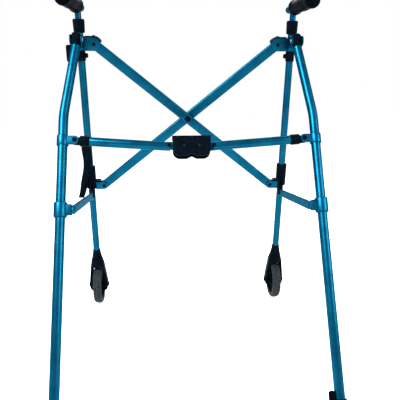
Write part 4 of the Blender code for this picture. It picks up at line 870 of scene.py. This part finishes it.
def pale_floor():
    """Matt white board that looks white to the camera and in reflections, and still takes a shadow."""
    made, tree, shader = finish_named("matt white studio board", {
        "Roughness": 0.9, "Specular IOR Level": 0.0, "Emission Color": (1, 1, 1, 1)})
    place = add(tree, "ShaderNodeTexCoord")
    noise = add(tree, "ShaderNodeTexNoise", {"Scale": 6.0, "Detail": 2}, {"Vector": place.outputs["Object"]})
    ramp = add(tree, "ShaderNodeValToRGB", links={"Fac": noise.outputs["Fac"]})
    for stop, shade in zip(ramp.color_ramp.elements, ("#F4F4F4", "#F8F8F8")):
        stop.color = linear(shade)
    tree.links.new(ramp.outputs["Color"], shader.inputs["Base Color"])
    lift = add(tree, "ShaderNodeMath", {"operation": "MULTIPLY", 1: FLOOR_LIFT},
               {0: seen_directly(tree).outputs["Value"]})
    tree.links.new(lift.outputs["Value"], shader.inputs["Emission Strength"])
    return made


def make_studio():
    floor = block((-6, -6, -0.02), (6, 6, -0.0005), Matrix())
    floor.name = "floor"
    floor.data.materials.append(pale_floor())
    world = bpy.data.worlds.new("studio")
    bpy.context.scene.world = world
    world.use_nodes = True
    tree = world.node_tree
    tree.nodes.clear()
    soft = add(tree, "ShaderNodeBackground", {"Color": (1, 1, 1, 1), "Strength": WORLD_LIGHT})
    pale = add(tree, "ShaderNodeBackground", {"Color": (1, 1, 1, 1), "Strength": 1.0})
    mixed = add(tree, "ShaderNodeMixShader", links={
        "Fac": seen_directly(tree).outputs["Value"],
        1: soft.outputs["Background"], 2: pale.outputs["Background"]})
    add(tree, "ShaderNodeOutputWorld", links={"Surface": mixed.outputs["Shader"]})


def make_lamp(name, at, size, power):
    lamp = bpy.data.lights.new(name, "AREA")
    lamp.shape = "RECTANGLE"
    lamp.size, lamp.size_y = size
    lamp.energy = power
    made = bpy.data.objects.new(name, lamp)
    bpy.context.scene.collection.objects.link(made)
    made.location = at
    made.rotation_euler = (Vector(AIM) - Vector(at)).to_track_quat("-Z", "Y").to_euler()


def make_camera():
    camera = bpy.data.cameras.new("camera")
    camera.lens = FOCAL_PIXELS / PICTURE_PIXELS * SENSOR
    camera.sensor_width = SENSOR
    made = bpy.data.objects.new("camera", camera)
    bpy.context.scene.collection.objects.link(made)
    made.location = (-0.0624, -1.122, 0.6756)
    made.rotation_euler = (math.radians(90 - 14.352), 0, math.radians(-4.266))
    bpy.context.scene.camera = made


make_studio()
for lamp_name, lamp_facts in LAMPS.items():
    make_lamp(lamp_name, *lamp_facts)
make_camera()
bpy.context.scene.view_settings.view_transform = "Standard"
